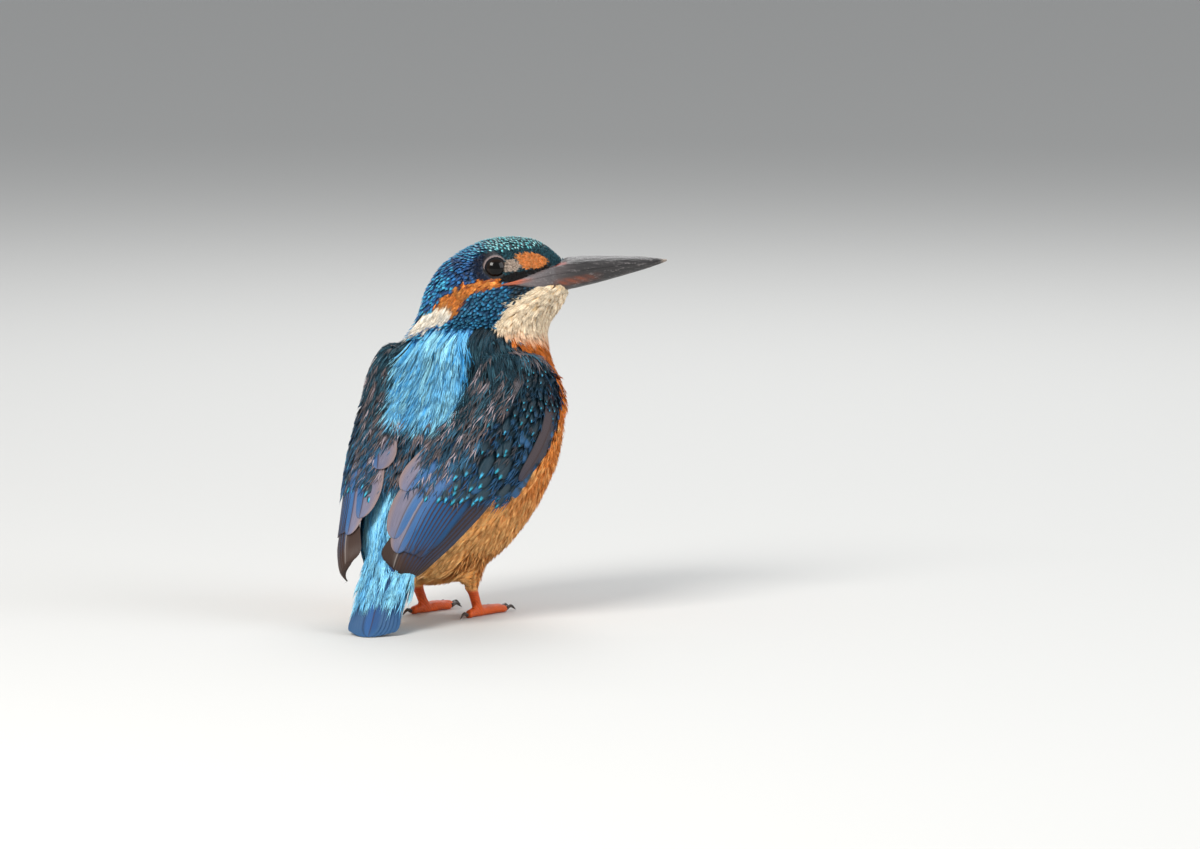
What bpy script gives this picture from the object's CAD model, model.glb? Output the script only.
# %% [markdown]
# # A kingfisher at life size
#
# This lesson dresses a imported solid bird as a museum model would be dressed: one skin, a coat of
# small solid feathers that follows the lie of the real one, stiff vanes for the wings and the
# tail, and a bill, eyes, feet and claws of their own. The solids come from the frame, and every
# piece is worked out from where they are.

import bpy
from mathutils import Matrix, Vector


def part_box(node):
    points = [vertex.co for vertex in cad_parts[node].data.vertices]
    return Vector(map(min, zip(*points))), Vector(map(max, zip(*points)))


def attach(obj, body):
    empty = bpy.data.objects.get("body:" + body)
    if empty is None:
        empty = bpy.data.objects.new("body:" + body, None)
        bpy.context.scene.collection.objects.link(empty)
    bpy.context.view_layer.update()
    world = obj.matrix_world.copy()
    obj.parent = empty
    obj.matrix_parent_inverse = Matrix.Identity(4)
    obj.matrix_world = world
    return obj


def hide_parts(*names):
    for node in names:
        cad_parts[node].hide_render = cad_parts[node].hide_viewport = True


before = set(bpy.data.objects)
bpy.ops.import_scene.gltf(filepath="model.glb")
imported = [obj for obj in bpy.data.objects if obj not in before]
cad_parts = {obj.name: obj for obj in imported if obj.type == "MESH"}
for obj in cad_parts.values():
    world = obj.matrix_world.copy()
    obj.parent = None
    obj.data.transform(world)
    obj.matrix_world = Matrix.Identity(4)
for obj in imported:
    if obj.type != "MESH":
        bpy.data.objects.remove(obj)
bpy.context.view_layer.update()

# %% Tools and units
import math
from types import SimpleNamespace

import bpy
import numpy as np
from mathutils import Vector
from mathutils.bvhtree import BVHTree
from mathutils.kdtree import KDTree

MM = 0.001
UP = np.array([0.0, 0.0, 1.0])
SIDES = {"left": 1, "right": -1}
rng = np.random.default_rng(7)


def unit(v):
    """Vectors along the last axis, each made one long."""
    return v / np.maximum(np.linalg.norm(v, axis=-1, keepdims=True), 1e-9)


def ease(x, low, high):
    """0 below low, 1 above high, and a smooth step between. Low may be the larger."""
    t = np.clip((np.asarray(x, float) - low) / (high - low), 0, 1)
    return t * t * (3 - 2 * t)


# %% [markdown]
# ## Where the bird stands
#
# A bird's body and its turned head are two different frames. Bird coordinates are millimetres
# from the point between the feet: +X is ahead of the breast, +Y the bird's left, +Z up. The feet
# give that point, and the two eyes give the head's middle and the way it looks, so nothing here
# repeats a place that the solids hold.

# %% Bird and head coordinates
FOOT_BEHIND = 1.1  # the middle of the feet's boxes lies this far behind the origin


def middle(node):
    low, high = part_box(node)
    return np.array((low + high) / 2) / MM


feet = (middle("foot_left") + middle("foot_right")) / 2
ORIGIN = np.array([feet[0] + FOOT_BEHIND, feet[1], 0.0])
EYES = {side: middle(f"eye_{side}") - ORIGIN for side in SIDES}
EYE_MIDDLE = (EYES["left"] + EYES["right"]) / 2
HEAD_LEFT = unit(EYES["left"] - EYES["right"])
HEAD_WAY = np.cross(HEAD_LEFT, UP)
HEAD_TURN = math.atan2(HEAD_WAY[1], HEAD_WAY[0])


def to_world(points):
    return (np.asarray(points) + ORIGIN) * MM


def to_bird(points):
    return np.asarray(points) / MM - ORIGIN


def head_coords(points):
    """Ahead of the eyes, to the head's left, and the height above the floor, in millimetres."""
    from_eyes = points - EYE_MIDDLE
    return from_eyes @ HEAD_WAY, from_eyes @ HEAD_LEFT, points[..., 2]


def head_point(ahead, left, height):
    at = EYE_MIDDLE + HEAD_WAY * ahead + HEAD_LEFT * left
    at[2] = height
    return at


print("the head looks", round(math.degrees(HEAD_TURN), 1), "degrees from the body's way")

# %% [markdown]
# ## Camera, floor and light
#
# A long lens from two and a half metres keeps the small bird free of distortion. It stands behind
# the bird's right side, a little above it. Three big soft lamps and a pale world give an even
# studio light, in which the blue feathers keep their depth.

# %% Camera
VIEW_TURN = math.radians(30)  # the camera looks this far to the left of the way the body faces
VIEW_DOWN = math.radians(6)
VIEW_DISTANCE = 2.4  # metres
FRAME_WIDTH = 0.312  # what the picture's width takes in at the bird, in metres
SENSOR_WIDTH = 36  # mm
AIM_RIGHT, AIM_UP = 36.4, 48.75  # the picture's middle, from the point between the feet, in mm

look = np.array([
    math.cos(VIEW_TURN) * math.cos(VIEW_DOWN),
    math.sin(VIEW_TURN) * math.cos(VIEW_DOWN),
    -math.sin(VIEW_DOWN),
])
view_right = np.array([math.sin(VIEW_TURN), -math.cos(VIEW_TURN), 0.0])
view_up = np.cross(view_right, look)
aim = to_world(view_right * AIM_RIGHT + view_up * AIM_UP)

bpy.ops.object.select_all(action="DESELECT")
bpy.ops.object.camera_add(
    location=Vector(aim - look * VIEW_DISTANCE),
    rotation=Vector(look).to_track_quat("-Z", "Y").to_euler(),
)
camera = bpy.context.object
camera.data.sensor_width = SENSOR_WIDTH
camera.data.lens = SENSOR_WIDTH * VIEW_DISTANCE / FRAME_WIDTH
camera.data.clip_end = 20
bpy.context.scene.camera = camera
print("camera at", [round(c, 3) for c in camera.location], "lens", round(camera.data.lens), "mm")

# %% Lamps and world
BIRD_MIDDLE = Vector(to_world([0, 0, 50]))


def soft_lamp(name, right, up, back, size, power, colour=(1, 1, 1)):
    """A square lamp placed as the camera sees it: metres to its right, above it and towards it."""
    level_look = Vector((look[0], look[1], 0))
    place = BIRD_MIDDLE + Vector(view_right) * right + Vector((0, 0, 1)) * up - level_look * back
    bpy.ops.object.light_add(type="AREA", location=place)
    lamp = bpy.context.object
    lamp.name = name
    lamp.rotation_euler = (BIRD_MIDDLE - place).to_track_quat("-Z", "Y").to_euler()
    lamp.data.size = size
    lamp.data.energy = power
    lamp.data.color = colour


soft_lamp("key_lamp", right=-0.55, up=0.75, back=0.75, size=0.5, power=14.5,
          colour=(1.0, 0.97, 0.93))
soft_lamp("fill_lamp", right=0.95, up=0.45, back=0.35, size=0.8, power=6,
          colour=(0.93, 0.97, 1.0))
soft_lamp("back_lamp", right=0.1, up=0.8, back=-0.8, size=0.6, power=6)

world = bpy.data.worlds.new("studio")
bpy.context.scene.world = world
world.use_nodes = True
backdrop = world.node_tree.nodes["Background"]
backdrop.inputs["Color"].default_value = (0.86, 0.88, 0.9, 1)
backdrop.inputs["Strength"].default_value = 0.5
bpy.context.scene.view_settings.view_transform = "Standard"


# %% Material helper
def new_material(name, roughness, specular=0.5):
    """A material with one Principled shader, and the tools to add nodes to it."""
    material = bpy.data.materials.new(name)
    material.use_nodes = True
    shader = material.node_tree.nodes["Principled BSDF"]
    shader.inputs["Roughness"].default_value = roughness
    shader.inputs["Specular IOR Level"].default_value = specular
    return material, shader


def add_node(material, kind, **settings):
    node = material.node_tree.nodes.new(kind)
    for key, value in settings.items():
        if key in node.inputs:
            node.inputs[key].default_value = value
        else:
            setattr(node, key, value)
    return node


def join_nodes(material, *pairs):
    for out_socket, in_socket in pairs:
        material.node_tree.links.new(out_socket, in_socket)


def calculator(material):
    """Adds Math nodes to a material, one a call: their inputs are numbers or other nodes' sockets."""
    def calc(operation, *values, clamp=False):
        node = add_node(material, "ShaderNodeMath", operation=operation, use_clamp=clamp)
        for socket, value in zip(node.inputs, values):
            if isinstance(value, (int, float)):
                socket.default_value = value
            else:
                material.node_tree.links.new(value, socket)
        return node.outputs[0]
    return calc


def object_noise(material, scale, detail):
    """Even noise through the piece, fixed to its Object coordinates."""
    where = add_node(material, "ShaderNodeTexCoord")
    cloud = add_node(material, "ShaderNodeTexNoise", Scale=scale, Detail=detail)
    join_nodes(material, (where.outputs["Object"], cloud.inputs["Vector"]))
    return cloud.outputs["Fac"]


def tint(material, shader, colour, shade):
    """Multiplies a colour by a shade, and gives it to the shader."""
    blend = add_node(material, "ShaderNodeMix", data_type="RGBA", blend_type="MULTIPLY")
    blend.inputs[0].default_value = 1.0
    join_nodes(material, (colour, blend.inputs[6]), (shade, blend.inputs[7]),
               (blend.outputs[2], shader.inputs["Base Color"]))


def groove(material, shader, height, strength, distance):
    """Lets a height bump the surface. The distance is in metres."""
    bump = add_node(material, "ShaderNodeBump", Strength=strength, Distance=distance)
    join_nodes(material, (height, bump.inputs["Height"]),
               (bump.outputs["Normal"], shader.inputs["Normal"]))


# %% Floor
bpy.ops.mesh.primitive_plane_add(size=6, location=(0, 0, 0))
floor = bpy.context.object
floor.name = "floor"
floor_paint, floor_shader = new_material("pale_floor", roughness=0.7, specular=0.2)
floor_shader.inputs["Base Color"].default_value = (0.60, 0.60, 0.59, 1)
floor.data.materials.append(floor_paint)
print("floor", tuple(floor.dimensions))

# %% [markdown]
# ## One skin
#
# Under its feathers a bird has one loose skin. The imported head, neck, trunk, rump, thighs and the
# upper wings are copied, puffed out a little so that they run into each other, and remeshed to
# one closed surface. Plugs in the sockets keep it closed under the eyes and the bill. Then every
# point sinks by the puff and by the depth of the coat there, which leaves room for the feathers
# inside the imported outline.

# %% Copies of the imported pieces
PUFF = 0.75  # mm
FOOT_PUFF = 0.3  # mm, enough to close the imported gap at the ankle
VOXEL = 0.5  # mm


def select_only(*objects):
    bpy.ops.object.select_all(action="DESELECT")
    for o in objects:
        o.select_set(True)
    bpy.context.view_layer.objects.active = objects[0]


def welded_copy(node):
    """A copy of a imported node's mesh with its loose triangles joined up."""
    copy = bpy.data.objects.new(f"{node}_copy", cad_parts[node].data.copy())
    copy.data.materials.clear()
    bpy.context.collection.objects.link(copy)
    select_only(copy)
    bpy.ops.object.mode_set(mode="EDIT")
    bpy.ops.mesh.select_all(action="SELECT")
    bpy.ops.mesh.remove_doubles(threshold=1e-6)
    bpy.ops.object.mode_set(mode="OBJECT")
    return copy


def keep_side(obj, point, way):
    """Cuts a copy at a plane, closes the cut, and keeps what lies against the way given."""
    select_only(obj)
    bpy.ops.object.mode_set(mode="EDIT")
    bpy.ops.mesh.select_all(action="SELECT")
    bpy.ops.mesh.bisect(plane_co=to_world(point), plane_no=way, use_fill=True, clear_outer=True)
    bpy.ops.object.mode_set(mode="OBJECT")


def vertex_array(obj, field="co"):
    values = np.empty(len(obj.data.vertices) * 3)
    source = obj.data.vertices if field == "co" else obj.data.vertex_normals
    source.foreach_get("co" if field == "co" else "vector", values)
    return values.reshape(-1, 3)


def set_vertices(obj, points):
    obj.data.vertices.foreach_set("co", np.asarray(points, np.float32).ravel())
    obj.data.update()


def apply_modifier(obj, kind, **settings):
    select_only(obj)
    modifier = obj.modifiers.new(kind.lower(), kind)
    for key, value in settings.items():
        setattr(modifier, key, value)
    bpy.ops.object.modifier_apply(modifier=modifier.name)


def puff_out(obj, by):
    """Moves each point out along its normal, in millimetres."""
    set_vertices(obj, vertex_array(obj) + vertex_array(obj, "normal") * by * MM)


def merge(objects, voxel, smoothing):
    """One closed and smoothed surface round all the objects."""
    select_only(*objects)
    bpy.ops.object.join()
    whole = bpy.context.object
    apply_modifier(whole, "REMESH", mode="VOXEL", voxel_size=voxel * MM)
    apply_modifier(whole, "SMOOTH", factor=0.5, iterations=smoothing)
    return whole


FLESH = ["head", "neck", "trunk", "rump", "wing_left_coverts", "wing_right_coverts"]
FLESH += [f"{part}_{side}" for part in ("thigh", "foot") for side in SIDES]
parts = [welded_copy(node) for node in FLESH]
print("copied", len(parts), "packed pieces")

# %% Plugs for the sockets, and the stump of the tail
BILL_HALVES = ("bill_upper", "bill_lower")
BILL_PLUG_AHEAD = 18.2  # the plug of the bill ends this far ahead of the eyes
EYE_PLUG_SIZE, EYE_PLUG_DEEPER = 0.95, 1.5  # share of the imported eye, and mm towards the head's middle
TAIL_STUMP = 0.42  # share of the tail that is flesh and coverts
TAIL_SLOPE = math.radians(37)
TAIL_SWING = math.radians(-15)
TAIL_ROOT = np.array([-31.5, 0.5, 19.0])
TAIL_LENGTH = 32.5
STUMP_SLIM = 0.8  # the stump is slimmer than the coat on it
TAIL_WAY = np.array([
    -math.cos(TAIL_SLOPE) * math.cos(TAIL_SWING),
    math.cos(TAIL_SLOPE) * math.sin(TAIL_SWING),
    -math.sin(TAIL_SLOPE),
])
TAIL_ACROSS = unit(np.cross(UP, TAIL_WAY))
TAIL_OVER = np.cross(TAIL_WAY, TAIL_ACROSS)


def eye_plug(side):
    plug = welded_copy(f"eye_{side}")
    from_middle = to_bird(vertex_array(plug)) - EYES[side]
    deeper = HEAD_LEFT * SIDES[side] * EYE_PLUG_DEEPER
    set_vertices(plug, to_world(EYES[side] + from_middle * EYE_PLUG_SIZE - deeper))
    return plug


def bill_plug(node):
    plug = welded_copy(node)
    keep_side(plug, head_point(BILL_PLUG_AHEAD, 0, 88), HEAD_WAY)
    return plug


def plugs():
    return [eye_plug(side) for side in SIDES] + [bill_plug(node) for node in BILL_HALVES]


parts += plugs()
stump = welded_copy("tail")
keep_side(stump, TAIL_ROOT + TAIL_WAY * TAIL_LENGTH * TAIL_STUMP, TAIL_WAY)
from_root = to_bird(vertex_array(stump)) - TAIL_ROOT
on_line = np.outer(from_root @ TAIL_WAY, TAIL_WAY)
set_vertices(stump, to_world(TAIL_ROOT + on_line + (from_root - on_line) * STUMP_SLIM))
parts.append(stump)

for part in parts:
    puff_out(part, FOOT_PUFF if "foot" in part.name else PUFF)
skin = merge(parts, VOXEL, smoothing=5)
skin.name = "skin"
print("skin, remeshed:", len(skin.data.polygons), "faces")


# %% Sink the skin by the coat's depth
def packed_tree(nodes):
    """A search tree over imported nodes, in bird coordinates."""
    corners, faces = [], []
    for node in nodes:
        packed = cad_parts[node]
        first = len(corners)
        corners += [tuple(p) for p in to_bird(vertex_array(packed))]
        faces += [tuple(first + i for i in f.vertices) for f in packed.data.polygons]
    return BVHTree.FromPolygons(corners, faces)


def coat_depth(points):
    """How thick the feathers lie, in mm: thin on the face and the legs, thickest below the neck."""
    ahead, _, height = head_coords(points)
    neck = ease(height, 82, 66)
    face = ease(ahead, -6, 8) * ease(height, 78, 84)
    depth = 0.75 + 0.85 * neck - 0.3 * face
    legs = ease(height, 13, 8) * ease(points[..., 0], -16, -12)
    return depth * (1 - 0.45 * legs)


points = to_bird(vertex_array(skin))
on_foot = ease(points[:, 2], 7.4, 6.4)
sink = (PUFF + coat_depth(points)) * (1 - on_foot) + FOOT_PUFF * on_foot
points -= vertex_array(skin, "normal") * sink[:, None]
ahead, left, _ = head_coords(points)
# the skin ends inside the bill's root
muzzle = np.interp(ahead, [11.0, 14.0, 16.5, 19.0], [8.5, 5.2, 4.9, 4.2])
at_bill = (ahead > 11) & (points[:, 2] > 83)
points -= np.outer(np.sign(left) * np.maximum(np.abs(left) - muzzle, 0) * at_bill, HEAD_LEFT)
set_vertices(skin, to_world(points))
apply_modifier(skin, "SMOOTH", factor=0.5, iterations=3)
points = to_bird(vertex_array(skin))
foot_tree = packed_tree(["foot_left", "foot_right"])
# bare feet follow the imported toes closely
for i in np.flatnonzero((points[:, 2] < 7) & (points[:, 0] > -20)):
    place, normal, _, gap = foot_tree.find_nearest(tuple(points[i]))
    if gap < 1.2:
        share = float(ease(points[i, 2], 7, 6))
        points[i] += (np.array(place) + np.array(normal) * 0.04 - points[i]) * share
set_vertices(skin, to_world(points))
apply_modifier(skin, "SMOOTH", factor=0.3, iterations=1)
select_only(skin)
bpy.ops.object.shade_smooth()
deep = coat_depth(points)
print("skin lies", round(float(deep.min()), 2), "to", round(float(deep.max()), 2), "mm deep")

# %% [markdown]
# ## The lie of the coat
#
# Feathers don't grow just anywhere or point just anyhow. They lie back from the bill over the
# head, run down the body to the tail, and on a closed wing point to its tip. The guide below is
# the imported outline, wings and tail included, as one smooth surface. Each feather is walked over
# it in short steps, so that it follows the body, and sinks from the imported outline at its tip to
# the skin at its root.

# %% Guide surface
GUIDE_VOXEL = 0.8  # mm, coarser than the skin's


def make_guide(left_out):
    """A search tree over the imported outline, puffed out and smoothed, without the pieces left out."""
    guide_parts = [welded_copy(n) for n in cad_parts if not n.startswith(left_out)]
    guide_parts += plugs()
    for part in guide_parts:
        puff_out(part, PUFF)
    guide = merge(guide_parts, GUIDE_VOXEL, smoothing=8)
    corners = [tuple(p) for p in to_bird(vertex_array(guide))]
    tree = BVHTree.FromPolygons(corners, [tuple(f.vertices) for f in guide.data.polygons])
    print("guide:", len(corners), "points")
    bpy.data.objects.remove(guide)
    return tree


HARD = ("eye", "bill", "claw")
whole_guide = make_guide(HARD + ("foot",))
body_guide = make_guide(HARD + ("wing",))


def onto_guide(points, body_only):
    """The nearest places on a guide, and the outward normals there."""
    guides = [body_guide if alone else whole_guide for alone in body_only]
    hits = [guide.find_nearest(tuple(p)) for guide, p in zip(guides, points)]
    return np.array([h[0] for h in hits]), np.array([h[1] for h in hits])


# %% Landmarks of the closed wings
WING_EDGES = {  # the front edge, the middle and the inner edge, each from the shoulder to the tip
    "right": np.array([
        [[-2.4, -21.1, 69.1], [3.8, -24.1, 65.7], [6.6, -26.0, 59.1], [3.6, -26.7, 50.5],
         [-3.2, -26.1, 42.1], [-12.1, -23.3, 34.0], [-18.9, -19.5, 26.9], [-25.3, -15.3, 20.1],
         [-30.6, -11.9, 15.6], [-33.7, -8.8, 12.4], [-34.3, -5.4, 10.2]],
        [[-8.5, -17.9, 69.3], [-6.3, -22.0, 66.7], [-6.7, -24.1, 61.4], [-12.1, -23.2, 53.6],
         [-19.4, -21.0, 45.8], [-26.8, -17.4, 38.1], [-31.7, -14.0, 30.9], [-35.6, -11.2, 23.9],
         [-38.2, -9.0, 18.8], [-38.6, -6.5, 13.3], [-36.4, -4.0, 10.0]],
        [[-12.0, -11.8, 68.9], [-11.5, -12.5, 66.5], [-13.7, -11.8, 61.7], [-19.0, -8.3, 54.2],
         [-25.5, -5.3, 46.7], [-31.2, -2.7, 39.2], [-35.2, -1.3, 32.5], [-38.4, -1.0, 25.7],
         [-40.3, -1.2, 20.3], [-39.9, -1.5, 14.8], [-36.7, -1.7, 11.0]],
    ]),
    "left": np.array([
        [[8.9, 22.4, 69.4], [7.0, 24.3, 65.7], [5.3, 25.9, 59.2], [3.6, 26.7, 50.4],
         [-3.2, 26.2, 42.1], [-12.2, 24.3, 34.2], [-19.1, 21.8, 27.1], [-25.9, 19.1, 20.4],
         [-31.5, 17.1, 16.0], [-35.0, 15.2, 12.8], [-36.1, 13.2, 10.8]],
        [[2.2, 22.3, 70.1], [-3.0, 23.2, 67.6], [-7.8, 23.4, 61.4], [-12.1, 23.2, 53.5],
         [-19.3, 21.0, 46.0], [-26.7, 18.3, 38.3], [-31.9, 16.3, 31.2], [-36.2, 15.0, 24.2],
         [-39.1, 14.1, 19.1], [-40.0, 12.9, 13.7], [-38.2, 11.7, 10.6]],
        [[-3.8, 18.8, 69.6], [-9.6, 14.7, 67.1], [-14.2, 10.7, 61.7], [-19.0, 8.3, 54.1],
         [-25.5, 5.3, 46.6], [-31.3, 3.6, 39.2], [-35.5, 3.6, 32.6], [-39.0, 4.7, 25.9],
         [-41.2, 6.3, 20.6], [-41.3, 8.0, 15.2], [-38.5, 9.5, 11.6]],
    ]),
}
WING_TIP = {side: WING_EDGES[side][1, -1] for side in SIDES}


def wing_place(side, along, across):
    """A point of the closed wing: along from shoulder to tip, across from the front edge inwards."""
    along, across = np.broadcast_arrays(np.asarray(along, float), np.asarray(across, float))
    at = np.clip(along, 0, 1) * 10
    low = np.clip(at.astype(int), 0, 9)
    rest = (at - low)[..., None]
    edges = WING_EDGES[side]
    before, after = np.maximum(low - 1, 0), np.minimum(low + 2, 10)

    def smooth(row):  # a Catmull-Rom curve through the landmarks
        p0, p1, p2, p3 = row[before], row[low], row[low + 1], row[after]
        return 0.5 * (2 * p1 + (p2 - p0) * rest + (2 * p0 - 5 * p1 + 4 * p2 - p3) * rest**2
                      + (3 * p1 - p0 - 3 * p2 + p3) * rest**3)

    front, centre, inner = (smooth(row) for row in edges)
    b = across[..., None]
    return (front * (2 * (b - 0.5) * (b - 1)) + centre * (4 * b * (1 - b))
            + inner * (2 * b * (b - 0.5)))


def point_tree(points):
    """A search tree over loose points."""
    tree = KDTree(len(points))
    for i, p in enumerate(points):
        tree.insert(p, i)
    tree.balance()
    return tree


def wing_coordinates(points, side):
    """Along and across for points near a wing, from the nearest place of a fine net over it."""
    along, across = np.meshgrid(np.linspace(0, 1, 61), np.linspace(0, 1, 31), indexing="ij")
    net = wing_place(side, along, across).reshape(-1, 3)
    tree = point_tree(net)
    found = [tree.find(p) for p in points]
    index = np.array([f[1] for f in found], int)
    return along.ravel()[index], across.ravel()[index], np.array([f[2] for f in found])


print("wing tips at", {side: [round(c, 1) for c in tip] for side, tip in WING_TIP.items()})

# %% The way the feathers point
BODY_LINE = np.array([  # the middle of the body, from the neck to the tail
    [6.8, 0, 72.0], [6.8, 0, 62.8], [5.9, 0, 52.5], [1.9, 0, 42.3], [-4.4, 0, 32.1],
    [-11.3, 0, 22.7], [-20.1, 0, 15.8], [-27.5, 0, 12.8], [-45.0, -3.0, 5.0],
])
BILL_ROOT = head_point(19.0, 0, 88.5)


def body_way(points):
    """The way along the body's middle line, nearest to each point."""
    steps = np.linspace(0, len(BODY_LINE) - 1, 60)
    stations = range(len(BODY_LINE))
    line = np.stack([np.interp(steps, stations, places) for places in BODY_LINE.T], -1)
    ways = unit(np.gradient(line, axis=0))
    flat = points * [1, 0.35, 1]
    nearest = ((flat[:, None] - line[None] * [1, 0.35, 1]) ** 2).sum(-1)
    weight = np.exp(-(nearest - nearest.min(axis=1, keepdims=True)) / 60)
    return unit(weight @ ways)


def feather_way(points, normals, on_wing):
    ahead, left, height = head_coords(points)
    body = body_way(points)
    back = ease(points[:, 0], -5, -15) * ease(height, 40, 55)
    body[:, 1] += 0.25 * np.clip(points[:, 1] / 10, -1, 1) * back
    body[:, 2] -= 0.9 * ease(-normals[:, 0], 0.2, 0.8) * ease(points[:, 0], -10, -25)
    tail = ease((points - TAIL_ROOT) @ TAIL_WAY, -4, 3)[:, None]
    body = unit(body) * (1 - tail) + TAIL_WAY * tail
    for side, sign in SIDES.items():
        wing = unit(WING_TIP[side] + [0, 2 * sign, 4] - points)
        body = np.where((on_wing == sign)[:, None], wing, body)
    head = unit(points - BILL_ROOT) + np.outer(ease(ahead, 2, -12), [0, 0, -1.1])
    head += HEAD_LEFT * (np.sign(left) * 0.25 * ease(ahead, -2, 8))[:, None]
    share = ease(height, 70, 80)[:, None]
    way = unit(body) * (1 - share) + unit(head) * share
    way -= normals * (way * normals).sum(-1, keepdims=True)
    return unit(way)


print("the feathers of the head point away from", [round(c, 1) for c in BILL_ROOT])

# %% [markdown]
# ## Where each kind of feather grows
#
# The skin is dotted with roots, close together on the face and further apart on the back.
# Candidates are strewn evenly, then each kept root clears the room that its own feather needs. A
# zone number at each root says what kind of feather grows there: scales on the crown, plush on
# the face, long loose plumes on the back.

# %% Outlines on the head
HEAD_SHAPES = {  # outlines on the side of the head: ahead of the eyes, height
    "ear": [(4.4, 85.9), (0.2, 87.1), (-3.0, 87.2), (-8.0, 86.8), (-13.0, 83.9), (-15.2, 81.2),
            (-12.0, 79.0), (-9.6, 78.6), (-8.3, 80.8), (-6.2, 82.9), (-3.4, 84.7), (0.2, 85.3),
            (4.4, 85.4)],
    "lore_spot": [(5.9, 93.3), (9.4, 93.8), (12.4, 92.7), (14.2, 91.4), (13.6, 90.0), (11.4, 89.4),
                  (8.4, 89.8), (6.6, 90.8)],
    "buff": [(3.2, 91.4), (4.9, 92.4), (6.4, 92.0), (7.1, 90.6), (6.8, 89.3), (4.9, 88.8),
             (3.4, 89.2)],
    "lore_black": [(1.9, 87.0), (2.9, 88.4), (6.9, 89.2), (11.4, 89.7), (14.5, 90.4), (14.0, 88.4),
                   (9.9, 88.4), (6.9, 87.0), (3.9, 86.2), (1.9, 86.2)],
    "malar": [(8.9, 85.4), (6.9, 85.5), (0.9, 85.1), (-3.5, 83.8), (-6.5, 82.3), (-8.5, 80.3),
              (-10.0, 78.4), (-12.5, 76.2), (-11.0, 74.8), (-7.5, 75.1), (-4.0, 76.4), (0.0, 78.1),
              (4.0, 80.6), (6.9, 82.4), (9.8, 84.2), (10.6, 85.6)],
    "white": [(-15.0, 81.0), (-13.0, 81.3), (-10.5, 80.8), (-10.7, 78.6), (-12.5, 77.1),
              (-15.0, 76.3), (-18.0, 75.1), (-22.4, 71.9), (-26.0, 69.3), (-24.5, 71.4),
              (-21.5, 74.4), (-19.2, 76.9), (-17.5, 79.4)],
    "horn": [(2.4, 85.9), (6.6, 86.6), (9.1, 88.0), (12.6, 89.2), (15.1, 90.0), (17.6, 90.9),
             (19.0, 92.4), (24.0, 92.4), (24.0, 85.4), (20.1, 85.4), (16.3, 85.2), (11.3, 85.2),
             (9.7, 85.1), (8.8, 85.4), (7.2, 85.5)],
    "throat": [(9.6, 84.0), (11.5, 85.4), (14.9, 85.3), (21.4, 85.2), (21.0, 81.4), (19.0, 76.4),
               (15.9, 70.8), (9.9, 72.8), (5.4, 73.0), (2.9, 73.4), (0.8, 76.6), (2.7, 78.6),
               (5.2, 80.9)],
}


def inside(ahead, height, outline, soft=0.5):
    """1 inside an outline, 0 outside, with a soft edge: the sign comes from counting crossings."""
    corners = np.array(outline)
    nearest = np.full(ahead.shape, 1e9)
    odd = np.zeros(ahead.shape, bool)
    for (x1, y1), (x2, y2) in zip(corners, np.roll(corners, -1, axis=0)):
        run, rise = x2 - x1, y2 - y1
        from_x, from_y = ahead - x1, height - y1
        share = np.clip((from_x * run + from_y * rise) / (run * run + rise * rise), 0, 1)
        nearest = np.minimum(nearest, np.hypot(from_x - share * run, from_y - share * rise))
        if rise:
            odd ^= ((y1 > height) != (y2 > height)) & (ahead < x1 + from_y * run / rise)
    return ease(np.where(odd, nearest, -nearest), -soft, soft)


print("outlines:", sorted(HEAD_SHAPES))

# %% What is known of a place
BARE, FACE, CROWN, NAPE, MALAR, EAR, WHITE, THROAT, MANTLE, SCAPULAR = range(10)
RUMP, BREAST, VENT, LESSER, MEDIAN, GREATER, THIGH = range(10, 17)
ZONE_COUNT = 17
EYELID = 3.4  # feathers start this far from the middle of the eye

wing_trees = {side: packed_tree([f"wing_{side}_coverts"]) for side in SIDES}
body_tree = packed_tree(["head", "neck", "trunk", "rump", "thigh_left", "thigh_right"])


def distances(tree, points):
    return np.array([tree.find_nearest(tuple(p))[3] for p in points])


def read_place(points, normals):
    """All that zones and markings need to know of a place, worked out once."""
    ahead, left, height = head_coords(points)
    on_wing, along, across = np.zeros((3, len(points)))
    past = np.full(len(points), -9.0)  # how far it lies in front of the wing's front edge
    for side, sign in SIDES.items():
        near = np.flatnonzero((points[:, 1] * sign > 0) & (height < 74) & (height > 26))
        here = near[distances(wing_trees[side], points[near]) < distances(body_tree, points[near])]
        on_wing[here] = sign
        along[here], across[here], _ = wing_coordinates(points[here], side)
        edge = wing_place(side, along[here], 0.0)
        ahead_of_edge = unit(edge - wing_place(side, along[here], 0.2))
        past[here] = ((points[here] - edge) * ahead_of_edge).sum(-1)
    to_eye = np.min([np.linalg.norm(points - eye, axis=-1) for eye in EYES.values()], axis=0)
    back = -normals[:, 0] * 0.75 + normals[:, 2] * 0.6
    return {
        "points": points, "normals": normals, "ahead": ahead, "left": left, "height": height,
        "on_wing": on_wing, "along": along, "across": across, "past": past,
        "to_eye": to_eye, "back": back,
    }


def head_masks(place):
    ahead, height, aside = place["ahead"], place["height"], np.abs(place["left"])
    masks = {name: inside(ahead, height, shape) for name, shape in HEAD_SHAPES.items()}
    for name in ("ear", "lore_spot", "buff", "lore_black", "white"):
        masks[name] = masks[name] * np.clip(aside / 4, 0, 1)
    under = ease(place["normals"][:, 2], 0.1, -0.5) * ease(ahead, -2, 3) * ease(height, 87, 85)
    masks["throat"] = np.maximum(masks["throat"], under * ease(height, 70.5, 73))
    masks["malar"] = masks["malar"] * ease(aside, 2, 5)
    masks["throat"] *= 1 - masks["malar"]
    return masks


print("kinds of place:", ZONE_COUNT, "with bare skin")


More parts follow.
